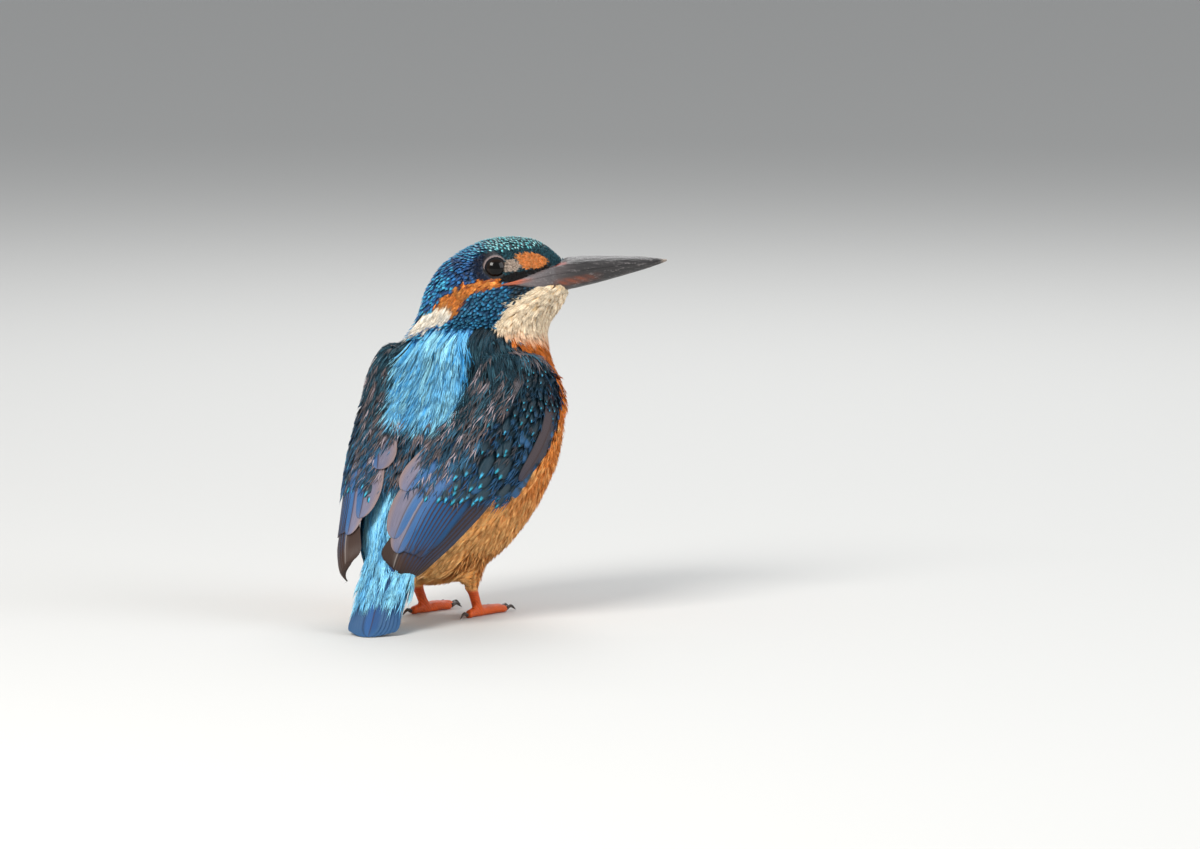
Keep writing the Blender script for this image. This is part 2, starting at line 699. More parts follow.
# %% Zones
def find_zones(place, masks):
    """The kind of feather at each place. Later rules paint over earlier ones."""
    points, height, back = place["points"], place["height"], place["back"]
    ahead, along, x, side = place["ahead"], place["along"], points[:, 0], np.abs(points[:, 1])
    zones = np.full(len(points), BREAST)
    zones[(back > 0.0) & (height < 72) & (height > 37) & (x < 2)] = SCAPULAR
    zones[(back > 0.1) & (side < 12.5) & (height > 55) & (height < 76)] = MANTLE
    zones[(back > 0.3) & (height < 39) & (x < -17) & (side < 14)] = RUMP
    zones[(x < -24) & (back <= 0.3)] = VENT
    zones[(x < -31) & (points @ TAIL_OVER > TAIL_ROOT @ TAIL_OVER - 3)] = RUMP
    zones[(height < 20) & (x > -17) & (side > 4) & (back < 0)] = THIGH

    wing = place["on_wing"] != 0
    zones[wing] = LESSER
    zones[wing & (along > 0.27)] = MEDIAN
    zones[wing & (along > 0.38)] = GREATER
    zones[wing & (place["across"] > 0.66 - 0.3 * ease(along, 0.3, 0.1)) & (along < 0.47)] = SCAPULAR
    zones[wing & (place["past"] > 0.3) & (along > 0.12)] = BREAST  # the flank laps over the wing's edge
    zones[(height > 64) & (height < 76) & (ahead < 4) & (back > -0.35) & ~wing] = MANTLE

    head = height > 75.5
    zones[head] = np.where(ahead[head] > -9, CROWN, NAPE)
    zones[(height > 72.5) & (height <= 75.5) & (ahead < -17)] = NAPE
    for name, zone in (("ear", EAR), ("white", WHITE), ("throat", THROAT), ("malar", MALAR)):
        zones[masks[name] > 0.5] = zone
    zones[(zones == CROWN) & (height < 86.5) & (ahead > -8)] = MALAR
    near_face = (place["to_eye"] < 5.2) | (ahead > 3.5) & (height > 85.3) & (height < 95)
    zones[near_face & ~np.isin(zones, (THROAT, MALAR, EAR)) & (height < 94.4)] = FACE

    beside_bill = (masks["horn"] > 0.5) & (np.abs(place["left"]) > 2)
    under_bill = (ahead > 15.3) & (height > 85.1) & ((height < 90) | (ahead > 17.9))
    foot = (height < 6.8) & (x > -19)
    zones[(place["to_eye"] < EYELID) | beside_bill | under_bill | foot] = BARE
    return zones


ROOT_SPACING = np.zeros(ZONE_COUNT)  # mm; none on bare skin
for zone, spacing in {
    FACE: 0.43, CROWN: 0.73, NAPE: 0.86, MALAR: 0.72, EAR: 0.6, WHITE: 0.72, THROAT: 0.72,
    MANTLE: 0.8, SCAPULAR: 1.0, RUMP: 0.85, BREAST: 0.95, VENT: 0.95, THIGH: 0.8,
    LESSER: 1.0, MEDIAN: 1.25, GREATER: 1.5,
}.items():
    ROOT_SPACING[zone] = spacing
print("zones with feathers:", int((ROOT_SPACING > 0).sum()))

# %% Unwrap of the skin
select_only(skin)
bpy.ops.object.mode_set(mode="EDIT")
bpy.ops.mesh.select_all(action="SELECT")
bpy.ops.uv.smart_project(angle_limit=math.radians(60), island_margin=0.004)
bpy.ops.object.mode_set(mode="OBJECT")
skin.data.uv_layers[0].name = "OFBake"
print("unwrapped", len(skin.data.polygons), "faces")

# %% Places strewn over the skin
skin.data.calc_loop_triangles()
triangle_count = len(skin.data.loop_triangles)
corner = np.empty(triangle_count * 3, np.int32)
loop = np.empty(triangle_count * 3, np.int32)
skin.data.loop_triangles.foreach_get("vertices", corner)
skin.data.loop_triangles.foreach_get("loops", loop)
corner, loop = corner.reshape(-1, 3), loop.reshape(-1, 3)
uv = np.empty(len(skin.data.loops) * 2)
skin.data.uv_layers["OFBake"].uv.foreach_get("vector", uv)
uv = uv.reshape(-1, 2)[loop]
skin_points = to_bird(vertex_array(skin))
skin_normals = vertex_array(skin, "normal")
skin_place = read_place(skin_points, skin_normals)
skin_masks = head_masks(skin_place)
skin_zones = find_zones(skin_place, skin_masks)

spacing = ROOT_SPACING[skin_zones[corner[:, 0]]]
sides_a = skin_points[corner[:, 1]] - skin_points[corner[:, 0]]
sides_b = skin_points[corner[:, 2]] - skin_points[corner[:, 0]]
area = np.linalg.norm(np.cross(sides_a, sides_b), axis=-1) / 2
weight = np.where(spacing > 0, area / np.maximum(spacing, 0.1) ** 2, 0)
CANDIDATES_PER_ROOT = 5
candidates = int(weight.sum() * CANDIDATES_PER_ROOT)
chosen = rng.choice(triangle_count, candidates, p=weight / weight.sum())
shares = rng.dirichlet([1, 1, 1], candidates)
strewn = (skin_points[corner[chosen]] * shares[:, :, None]).sum(1)
room = spacing[chosen]
print("strewn:", candidates, "places on", triangle_count, "triangles")

# %% Roots that are kept
tree = point_tree(strewn)
free = np.ones(candidates, bool)
kept = []
for i in range(candidates):
    if free[i]:
        kept.append(i)
        for _, near, _ in tree.find_range(strewn[i], room[i]):
            free[near] = False
kept = np.array(kept)
root_normals = unit((skin_normals[corner[chosen[kept]]] * shares[kept][:, :, None]).sum(1))
root_uv = (uv[chosen[kept]] * shares[kept][:, :, None]).sum(1)
roots = read_place(strewn[kept], root_normals)
root_masks = head_masks(roots)
root_zones = find_zones(roots, root_masks)
print("roots:", len(kept), "by zone:", np.bincount(root_zones, minlength=ZONE_COUNT).tolist())

# %% [markdown]
# ## Colours of the plumage
#
# The blues of this bird are structural, so they are strong but never flat: each feather is dark
# at its root and bright towards its tip. Every feather therefore carries two colours of its own,
# worked out from where its root sits and varied a little at random. The skin below gets a mix
# of both, so that no pale gap shows through.

# %% Paints of the plumage
INK = np.array([0.006, 0.012, 0.018])
AZURE, AZURE_LIGHT, AZURE_DEEP = [0.055, 0.40, 0.80], [0.38, 0.82, 0.98], [0.010, 0.12, 0.42]
WING_TEAL, WING_GREY, WING_BLUE = [0.008, 0.038, 0.060], [0.115, 0.085, 0.084], [0.012, 0.085, 0.21]
TEAL_BLACK, NAVY_BLACK = [0.006, 0.028, 0.040], [0.004, 0.045, 0.14]
TURQUOISE = [0.02, 0.42, 0.60]
ORANGE, ORANGE_LIGHT, ORANGE_DEEP = [0.80, 0.235, 0.032], [1.0, 0.48, 0.135], [0.46, 0.11, 0.018]
ORANGE_PALE, CREAM, WHITE_DOWN = [1.0, 0.57, 0.21], [0.90, 0.69, 0.42], [0.97, 0.88, 0.74]
# share of these feathers that are closed vanes: the rest are loose barbs
VANE_SHARE = {LESSER: 0.30, MEDIAN: 0.26, GREATER: 0.24, SCAPULAR: 0.0}


def mix(first, second, share):
    share = np.asarray(share)[..., None]
    return np.asarray(first) * (1 - share) + np.asarray(second) * share


def dye(coat, where, low, high, begins=0.45, width=1.4):
    """Root and tip colour of some feathers, where the tip's colour begins, and how wide it is."""
    coat.ground[where] = np.broadcast_to(low, coat.ground.shape)[where]
    coat.tip[where] = np.broadcast_to(high, coat.tip.shape)[where]
    coat.start[where], coat.wide[where] = begins, width


print("a blue feather runs from", AZURE_DEEP, "to", AZURE_LIGHT)


# %% Underside
def paint_underside(coat):
    zones, light, height = coat.zones, coat.light, coat.height
    breast = zones == BREAST
    belly = ease(height, 42, 22) * 0.6 + 0.25 * ease(coat.normals[:, 0], 0.6, -0.5)
    dye(coat, breast, mix(ORANGE, ORANGE_LIGHT, belly),
        mix(ORANGE, ORANGE_PALE, np.clip(belly + 0.6 * light, 0, 1)))
    upper_breast = breast & (height + 16 * coat.noise[:, 2] > 61)
    dye(coat, upper_breast, mix(ORANGE, ORANGE_DEEP, 0.5 * light),
        mix(ORANGE, ORANGE_DEEP, 0.6 - 0.5 * light))
    dye(coat, zones == VENT, mix(ORANGE_LIGHT, ORANGE, 0.2), mix(ORANGE_LIGHT, CREAM, 0.6 * light))
    dye(coat, zones == THIGH, mix(ORANGE, ORANGE_LIGHT, 0.5),
        mix(ORANGE, ORANGE_PALE, 0.5 + 0.5 * light))


print("the breast is", ORANGE, "and paler downwards")


# %% Back and rump
def paint_back(coat):
    points, zones, noise, light = coat.points, coat.zones, coat.noise, coat.light
    aside, down = points[:, 1], points[:, 2]
    streak = 0.5 + 0.5 * np.sin(aside * 2.1 + 1.5 * np.sin(aside * 0.8 + down * 0.11) + down * 0.07)
    streak = np.clip(0.7 * streak + 0.6 * noise[:, 0] - 0.15, 0, 1)
    mantle, rump, scapular = zones == MANTLE, zones == RUMP, zones == SCAPULAR
    dye(coat, mantle, mix(AZURE_DEEP, AZURE, streak), mix(AZURE, AZURE_LIGHT, streak), 0.1)
    beside = (ease(np.abs(aside - 1.5), 7.5, 10.5) + ease(coat.height, 70, 76) * 0.3
              + ease(coat.back, 0.35, 0.05))
    dye(coat, mantle & (beside > 0.35 + 0.4 * noise[:, 1]),
        mix([0.006, 0.022, 0.034], WING_TEAL, light), mix(WING_TEAL, [0.03, 0.10, 0.14], light), 0.3)
    dye(coat, rump, mix(AZURE_DEEP, AZURE, streak), mix(AZURE, AZURE_LIGHT, 0.25 + 0.7 * streak), 0.15)
    dye(coat, rump & (np.abs(aside - 1) > 9.5), [0.005, 0.06, 0.12],
        mix([0.008, 0.16, 0.36], AZURE, 0.4 * light), 0.3)

    lower = ease(coat.height, 58, 44)
    teal = mix([0.05, 0.14, 0.20], [0.06, 0.20, 0.36], lower)
    dye(coat, scapular, mix([0.006, 0.024, 0.036], WING_TEAL, light),
        mix(mix(WING_TEAL, teal, 0.4 * lower), teal, light), 0.35)
    dye(coat, scapular & (noise[:, 1] > 0.5), mix(WING_TEAL, WING_GREY, 0.35),
        mix(WING_TEAL, [0.20, 0.155, 0.155], 0.5 + 0.5 * light), 0.4)
    dye(coat, scapular & (noise[:, 1] > 0.92), mix(WING_TEAL, WING_GREY, 0.8),
        [0.40, 0.33, 0.36], 0.4)


print("the shoulder feathers are", WING_TEAL, "and", WING_GREY)


# %% Wing coverts
def paint_wings(coat):
    """Dark teal, some of it greyer, with a turquoise spot at the tip of each closed vane."""
    noise, light, across = coat.noise, coat.light, coat.across
    blue = ease(coat.along, 0.1, 0.5) * 0.7 + ease(across, 0.35, 0.0) * 0.4
    blue = mix(WING_TEAL, WING_BLUE, np.clip(blue + 0.3 * light, 0, 1))
    root = mix(INK, WING_TEAL, 0.6)
    for zone in (LESSER, MEDIAN, GREATER):
        here = coat.zones == zone
        dye(coat, here, mix(INK, WING_TEAL, 0.5 + 0.5 * light), blue, 0.5)
        dye(coat, here & (noise[:, 0] < 0.25) & (noise[:, 2] > 0.35), root,
            mix(WING_TEAL, WING_GREY, 0.45), 0.5)
        vane = (noise[:, 2] < VANE_SHARE[zone]) & (noise[:, 1] < 0.9)
        dye(coat, here & vane & (across > 0.04), root, mix(TURQUOISE, [0.06, 0.5, 0.85], light),
            0.78, 0.34)


print("spots on the coverts:", TURQUOISE)


# %% Head and face
def paint_head(coat):
    zones, noise, light, ahead, height = coat.zones, coat.noise, coat.light, coat.ahead, coat.height
    crown, nape, malar, ear = (zones == zone for zone in (CROWN, NAPE, MALAR, EAR))
    dye(coat, crown, TEAL_BLACK, mix([0.10, 0.42, 0.46], [0.34, 0.70, 0.72], light), 0.66, 1.0)
    rear = ease(ahead, 2, -7)
    coat.tip[crown] = mix(coat.tip, [0.02, 0.26, 0.50], rear * 0.85)[crown]
    coat.ground[crown] = mix(coat.ground, NAVY_BLACK, rear)[crown]
    dye(coat, nape, NAVY_BLACK, mix([0.012, 0.20, 0.42], [0.07, 0.46, 0.70], light), 0.62, 1.1)
    temple = (crown | nape) & (height < 92.5) & (ahead < -2)
    dye(coat, temple & (noise[:, 2] < ease(ahead, -13, -6) + 0.25), [0.003, 0.02, 0.06],
        mix([0.005, 0.05, 0.17], [0.012, 0.14, 0.38], light), 0.5, 1.3)
    dye(coat, malar, [0.006, 0.05, 0.12],
        mix([0.008, 0.11, 0.20], [0.03, 0.25, 0.48], light), 0.62, 1.1)
    dye(coat, malar & (ahead > 5.5), INK, [0.008, 0.04, 0.07], 0.6)
    dye(coat, ear, mix(ORANGE, ORANGE_DEEP, 0.4), mix(ORANGE, ORANGE_LIGHT, 0.25 + 0.4 * light), 0.3)
    ragged = inside(ahead, height, HEAD_SHAPES["ear"], 1.5) < 0.5 + 0.42 * noise[:, 2] ** 2
    dye(coat, ear & ragged, ORANGE_DEEP, mix([0.02, 0.07, 0.14], ORANGE_DEEP, noise[:, 1]), 0.3)
    dye(coat, zones == WHITE, mix(CREAM, WHITE_DOWN, 0.5),
        mix(WHITE_DOWN, [0.9, 0.87, 0.8], light), 0.3)
    warm = ease(height, 77, 71.5)
    dye(coat, zones == THROAT, mix(CREAM, ORANGE_LIGHT, 0.15 + 0.6 * warm),
        mix(mix(WHITE_DOWN, CREAM, 0.5), ORANGE, warm * 0.7), 0.3)


FACE_PATCHES = {  # root and tip colour
    "buff": ([0.33, 0.25, 0.20], [0.56, 0.45, 0.37]), "lore_spot": (ORANGE, [0.72, 0.30, 0.10]),
    "lore_black": ([0.004, 0.004, 0.005], [0.012, 0.010, 0.010]),
}


def paint_face(coat):
    face, ahead, height = coat.zones == FACE, coat.ahead, coat.height
    dye(coat, face, TEAL_BLACK, [0.03, 0.13, 0.17], 0.6)
    dye(coat, face & (height < 93.5) & (ahead < 2), [0.004, 0.012, 0.035],
        mix([0.006, 0.02, 0.06], [0.05, 0.045, 0.06], coat.light), 0.5)
    for name, (low, high) in FACE_PATCHES.items():
        dye(coat, face & (coat.masks[name] > 0.15 + 0.7 * coat.noise[:, 2]), low, high, 0.4)
    under_eye = face & (coat.to_eye < 6) & (height < 87.2) & (ahead > -4)
    dye(coat, under_eye & (coat.masks["lore_black"] < 0.5), mix(ORANGE, ORANGE_DEEP, 0.3), ORANGE, 0.3)


print("patches of the face:", list(FACE_PATCHES))


# %% Colour of each feather
def plumage(place, masks, zones, noise):
    """Root colour, tip colour, where the tip's colour starts along a feather, how wide it is."""
    count = len(zones)
    coat = SimpleNamespace(
        **place, masks=masks, zones=zones, noise=noise, light=ease(noise[:, 0], 0.3, 1),
        ground=np.zeros((count, 3)), tip=np.zeros((count, 3)),
        start=np.zeros(count), wide=np.zeros(count),
    )
    for paint_part in (paint_underside, paint_back, paint_wings, paint_head, paint_face):
        paint_part(coat)
    vary = (0.78 + 0.44 * noise[:, 3])[:, None]
    return coat.ground * vary, coat.tip * vary, coat.start, coat.wide


noise = rng.random((len(root_zones), 4))
ground, tip, tip_start, tip_width = plumage(roots, root_masks, root_zones, noise)
print("mean tip colour of the mantle:", tip[root_zones == MANTLE].mean(0).round(3).tolist())

# %% [markdown]
# ## Feather shapes
#
# Three shapes carry the coat. A scale is a closed vane, arched across and rounded at its tip, for
# the crown and the wing. A tuft is a small fan of thin pointed blades, for the hair-like feathers
# of the face, the breast and the belly. A plume's blades leave its shaft on both sides, for the
# loose feathers of the back and the wing. All have few faces, because each is repeated thousands
# of times; bending, size and colour make every one its own.


# %% Shape of a scale
def vane_shape(columns, rows, root_width=0.4, tip_width=0.45, arch=1.0):
    """Points, their places on the vane, and faces, of a closed vane that is flat below."""
    along = np.linspace(0, 1, rows) ** 0.85
    profile = [root_width, 0.85, 1, 0.9, 0.7, tip_width]
    width = np.interp(along, [0, 0.25, 0.55, 0.8, 0.93, 1], profile)
    across = np.linspace(-1, 1, columns)
    grid = np.array([
        [u * w, v - 0.10 * v**3 * abs(u) ** 2.5, arch * (1 - u * u) * (1 - 0.5 * v)]
        for v, w in zip(along, width) for u in across
    ])
    place = np.array([[(u + 1) / 2, v] for v in along for u in across])
    faces = []
    for r in range(rows - 1):
        for c in range(columns - 1):
            a = r * columns + c
            faces.append((a, a + 1, a + columns + 1, a + columns))
        first, last = r * columns, r * columns + columns - 1
        faces.append((last, first, first + columns, last + columns))
    faces.append(tuple(range(columns - 1, -1, -1)))
    faces.append(tuple((rows - 1) * columns + c for c in range(columns)))
    return grid, place, faces


print("a scale has", len(vane_shape(4, 5)[2]), "faces")


# %% Shape of a tuft
def tuft_shape(blades, seed, rings, blade_width=0.2):
    """A fan of three-sided pointed blades. A ring is a place along, its fan and its width."""
    dice = np.random.default_rng(seed)
    points, place, faces = [], [], []
    for i in range(blades):
        lane = (i + 0.5) / blades * 2 - 1
        reach = 0.72 + 0.28 * dice.random()
        drift = lane + dice.uniform(-0.25, 0.25)
        lift = dice.uniform(-0.5, 0.9)
        first = len(points)
        for v, fan, half in rings:
            middle_at = lane * fan + (drift - lane) * v
            rise = lift * v
            for du, dh in ((-half, 0), (half, 0), (0, 0.8 * half)):
                points.append([middle_at + du * blade_width, v * reach, rise + dh])
                place.append([0.5 + du / 2.2, v])
        points.append([drift, reach, lift])
        place.append([0.5, 1])
        last = first + 3 * (len(rings) - 1)
        for r in range(len(rings) - 1):
            for k in range(3):
                a, b = first + 3 * r + k, first + 3 * r + (k + 1) % 3
                faces.append((b, a, a + 3, b + 3))
        for k in range(3):
            faces.append((last + (k + 1) % 3, last + k, last + 3))
        faces.append((first, first + 1, first + 2))
    return np.array(points), np.array(place), faces


print("a blade of a tuft has", len(tuft_shape(1, 1, ((0, 0, 1), (0.5, 0, 1)))[2]), "faces")


# %% Shape of a plume
def plume_shape(blades, seed, blade_width=0.11):
    """A loose feather: blades that leave the line of the shaft on both sides, one after another."""
    dice = np.random.default_rng(seed)
    points, place, faces = [], [], []
    for i in range(blades):
        hand = 1 if i % 2 else -1
        leave = 0.62 * i / blades
        reach = min(1.0, leave + 0.38 + 0.12 * dice.random())
        aside = hand * (0.25 + 0.6 * dice.random()) * (1 - 0.5 * leave)
        rise = dice.uniform(-0.3, 0.9)
        first = len(points)
        for share, half in ((0.0, 0.9), (0.5, 1.0)):
            v = leave + (reach - leave) * share
            for du, dh in ((-half, 0), (half, 0), (0, 0.8 * half)):
                out = aside * share**1.5 + 0.04 * hand + du * blade_width
                points.append([out, v, rise * v + dh])
                place.append([0.5 + du / 2.2, v])
        points.append([aside, reach, rise * reach])
        place.append([0.5, reach])
        for k in range(3):
            a, b = first + k, first + (k + 1) % 3
            faces += [(b, a, a + 3, b + 3), (b + 3, a + 3, first + 6)]
        faces.append((first, first + 1, first + 2))
    return np.array(points), np.array(place), faces


print("a blade of a plume has", len(plume_shape(1, 1)[2]), "faces")


# %% The shapes that are used
def side_volume(points, faces):
    """Signed volume of a shape, as cones from the origin: above 0 when its faces point outwards."""
    total = 0.0
    for face in faces:
        for a, b in zip(face[1:], face[2:]):
            total += np.dot(points[face[0]], np.cross(points[a], points[b])) / 6
    return total


SMALL_SCALE = vane_shape(4, 5)
BIG_SCALE = vane_shape(6, 8, tip_width=0.4)
LONG_RINGS = ((0.0, 0.35, 0.6), (0.4, 0.7, 1.0), (0.75, 0.9, 0.75))
SHORT_RINGS = ((0.0, 0.4, 0.7), (0.55, 0.8, 1.0))
FANS = {
    "strand": [tuft_shape(6, seed, LONG_RINGS, 0.17) for seed in (1, 2, 3, 4)],
    "tuft": [tuft_shape(8, seed, SHORT_RINGS, 0.15) for seed in (5, 6, 7, 8)],
    "plume": [plume_shape(9, seed) for seed in (9, 10, 11, 12)],
}
shapes = {"scale": SMALL_SCALE, "big scale": BIG_SCALE}
shapes.update({name: fans[0] for name, fans in FANS.items()})
for name, (shape, _, faces) in shapes.items():
    print(name, len(faces), "faces, volume", round(side_volume(shape, faces), 3))

# %% Walk and bend
STEPS = 5
# length, width and thickness in mm, how far the tip stands off, how steeply it rises, its shape
COAT_OF = {
    FACE: (1.5, 0.7, 0.07, 0.06, 1.0, "tuft"),
    CROWN: (2.1, 1.12, 0.09, 0.12, 1.0, "scale"),
    NAPE: (3.1, 1.25, 0.09, 0.15, 1.0, "scale"),
    MALAR: (2.5, 0.95, 0.07, 0.08, 1.0, "scale"),
    EAR: (3.3, 1.0, 0.08, 0.15, 1.0, "tuft"),
    WHITE: (5.2, 1.3, 0.09, 0.08, 1.0, "strand"),
    THROAT: (5.6, 1.3, 0.09, 0.15, 1.0, "strand"),
    MANTLE: (12.0, 2.8, 0.10, 0.35, 1.2, "plume"),
    SCAPULAR: (9.5, 3.2, 0.12, 0.25, 1.8, "mixed"),
    RUMP: (12.5, 2.0, 0.09, 0.10, 2.0, "plume"),
    BREAST: (6.4, 1.9, 0.11, 0.25, 1.0, "strand"),
    VENT: (8.5, 1.9, 0.11, 0.3, 1.2, "strand"),
    LESSER: (4.0, 1.9, 0.10, 0.12, 1.2, "mixed small"),
    MEDIAN: (6.0, 2.6, 0.12, 0.12, 1.5, "mixed small"),
    GREATER: (8.5, 3.4, 0.13, 0.12, 2.0, "mixed"),
    THIGH: (3.2, 1.2, 0.09, 0.15, 1.0, "tuft"),
}
BODY_ONLY = (RUMP, BREAST, VENT, THIGH)  # these run under the wings, so they follow the body alone


def walk(starts, lengths, on_wing, body_only, yaw):
    """Lines of points over a guide, from each root along the lie of the coat."""
    at, normals = onto_guide(starts, body_only)
    line, ups = [at], [normals]
    for _ in range(STEPS - 1):
        way = feather_way(at, normals, on_wing)
        way = way * np.cos(yaw)[:, None] + np.cross(normals, way) * np.sin(yaw)[:, None]
        at, normals = onto_guide(at + way * (lengths / (STEPS - 1))[:, None], body_only)
        line.append(at)
        ups.append(normals)
    line, ups = np.stack(line, 1), np.stack(ups, 1)
    return line, unit(ups + ups.mean(1, keepdims=True))


def bend(shape, line, ups, widths, thick, depth, lift, rise, roll, press):
    """One copy of a shape laid along each line: bird coordinates, feather by feather."""
    grid = shape[0]
    at = np.clip(grid[:, 1], 0, 1) * (STEPS - 1)
    low = np.clip(at.astype(int), 0, STEPS - 2)
    rest = (at - low)[None, :, None]
    centre = line[:, low] * (1 - rest) + line[:, low + 1] * rest
    up = unit(ups[:, low] * (1 - rest) + ups[:, low + 1] * rest)
    along = unit(line[:, low + 1] - line[:, low])
    across = unit(np.cross(up, along))
    across = unit(across + up * roll[:, None, None])
    u, v, h = grid[:, 0][None, :], grid[:, 1][None, :], grid[:, 2][None, :]
    sink = -PUFF - depth[:, None] * np.clip(1 - v, 0, 1) ** rise[:, None]
    sink = sink + (lift - press)[:, None] * v**2
    sink = sink - 0.10 * widths[:, None] * u**2
    return (centre + across * (u * widths[:, None] / 2)[..., None]
            + up * (sink + h * thick[:, None])[..., None])


print("a feather is laid over", STEPS, "points of the guide")


# %% Join feathers into a piece
def set_colours(mesh, layer, values):
    """Gives each point of a mesh a colour, and a fourth number beside it."""
    values = np.asarray(values).astype(np.float32).ravel()
    mesh.attributes.new(layer, "FLOAT_COLOR", "POINT").data.foreach_set("color", values)


def set_map(mesh, layer, values):
    """Gives each corner of a mesh its place in a UV map."""
    values = np.asarray(values).astype(np.float32).ravel()
    mesh.uv_layers.new(name=layer).uv.foreach_set("vector", values)


def coat_piece(name, batches, material):
    """Joins batches of bent feathers into one mesh with its colours and maps."""
    points, faces, loops_total, vane_uv, bake_uv, grounds, tips = [], [], [], [], [], [], []
    first = 0
    for (grid, place, shape_faces), bent, chosen in batches:
        copies, size = bent.shape[:2]
        if not copies:
            continue
        points.append(bent.reshape(-1, 3))
        corners = np.concatenate([np.array(f) for f in shape_faces])
        base = first + np.arange(copies)[:, None] * size
        faces.append((base + corners[None, :]).ravel())
        loops_total.append(np.tile([len(f) for f in shape_faces], copies))
        vane_uv.append(np.tile(place[corners], (copies, 1)))
        patch = root_uv[chosen][:, None, :] + (place[corners][None] - 0.5) * 0.003
        bake_uv.append(patch.reshape(-1, 2))
        root_mark = np.column_stack([ground[chosen], tip_start[chosen]])
        tip_mark = np.column_stack([tip[chosen], tip_width[chosen]])
        grounds.append(np.repeat(root_mark, size, axis=0))
        tips.append(np.repeat(tip_mark, size, axis=0))
        first += copies * size
    points, loops_total = np.concatenate(points), np.concatenate(loops_total)
    mesh = bpy.data.meshes.new(name)
    mesh.vertices.add(len(points))
    mesh.vertices.foreach_set("co", to_world(points).astype(np.float32).ravel())
    corners = np.concatenate(faces)
    mesh.loops.add(len(corners))
    mesh.loops.foreach_set("vertex_index", corners.astype(np.int32))
    mesh.polygons.add(len(loops_total))
    starts = np.concatenate([[0], np.cumsum(loops_total)[:-1]])
    mesh.polygons.foreach_set("loop_start", starts.astype(np.int32))
    mesh.update(calc_edges=True)
    for layer, values in (("OFBake", bake_uv), ("vane", vane_uv)):
        set_map(mesh, layer, np.concatenate(values))
    for layer, values in (("ground", grounds), ("tip", tips)):
        set_colours(mesh, layer, np.concatenate(values))
    piece = bpy.data.objects.new(name, mesh)
    bpy.context.collection.objects.link(piece)
    mesh.materials.append(material)
    select_only(piece)
    bpy.ops.object.shade_smooth()
    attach(piece, "root")
    print(name, len(mesh.vertices), "vertices,", sum(loops_total - 2), "triangles")


# %% [markdown]
# ## The look of a feather
#
# A vane is a comb of barbs: fine slanting lines that part here and there, with a faint shaft
# between them. The shader reads how far along and across the feather a point lies, mixes the root
# and the tip colour with a ragged edge, and lets the barbs groove the surface and the gloss.


# %% Plumage finish
def feather_finish(name, roughness, barbs, slant, depth, sheen=0.0, gloss=0.4):
    paint, shader = new_material(name, roughness, gloss)
    shader.inputs["Sheen Weight"].default_value = sheen
    shader.inputs["Sheen Roughness"].default_value = 0.4
    vane = add_node(paint, "ShaderNodeUVMap", uv_map="vane")
    split = add_node(paint, "ShaderNodeSeparateXYZ")
    low = add_node(paint, "ShaderNodeAttribute", attribute_name="ground")
    high = add_node(paint, "ShaderNodeAttribute", attribute_name="tip")
    join_nodes(paint, (vane.outputs["UV"], split.inputs[0]))
    grain = object_noise(paint, 1400.0, 3.0)
    calc = calculator(paint)

    # the tip's colour: past its start, within its width, both with a ragged edge
    across = calc("ABSOLUTE", calc("MULTIPLY_ADD", split.outputs[0], 2.0, -1.0))
    along = split.outputs[1]
    ragged = calc("MULTIPLY_ADD", grain, 0.24, -0.12)
    past_start = calc("SUBTRACT", calc("ADD", along, ragged), low.outputs["Alpha"])
    within = calc("SUBTRACT", high.outputs["Alpha"], calc("ADD", across, ragged))
    share = calc("MULTIPLY", calc("MULTIPLY", past_start, 7.0, clamp=True),
                 calc("MULTIPLY", within, 5.0, clamp=True))
    colour = add_node(paint, "ShaderNodeMix", data_type="RGBA")
    join_nodes(paint, (share, colour.inputs[0]), (low.outputs["Color"], colour.inputs[6]),
               (high.outputs["Color"], colour.inputs[7]))

    # the comb of barbs
    slope = calc("MULTIPLY_ADD", across, -slant, calc("MULTIPLY", along, barbs))
    comb = calc("SINE", calc("MULTIPLY_ADD", grain, 3.0, slope))
    shade = calc("MULTIPLY_ADD", comb, 0.10, calc("MULTIPLY_ADD", grain, 0.5, 0.76))
    tint(paint, shader, colour.outputs[2], shade)
    groove(paint, shader, comb, depth, 0.0001)
    join_nodes(paint, (calc("MULTIPLY_ADD", grain, 0.3, roughness - 0.15), shader.inputs["Roughness"]))
    return paint


scale_paint = feather_finish("scale_feathers", roughness=0.45, barbs=150.0, slant=34.0, depth=0.3)
down_paint = feather_finish("loose_feathers", roughness=0.6, barbs=6.0, slant=9.0, depth=0.25,
                            sheen=0.08, gloss=0.2)
print("finishes:", scale_paint.name, down_paint.name)

# %% [markdown]
# ## Dressing the bird
#
# Every feather gets its size from its zone and a little chance, and its line from the walk over
# the guide. Where that line stays much shorter than the feather, the surface folds and the feather
# would crumple, so it grows short or is left out. Flank feathers lie over the front edge of the
# closed wing, but run down the body. Feathers beside the stiff quills are pressed down, so that the
# quills come to lie over them.

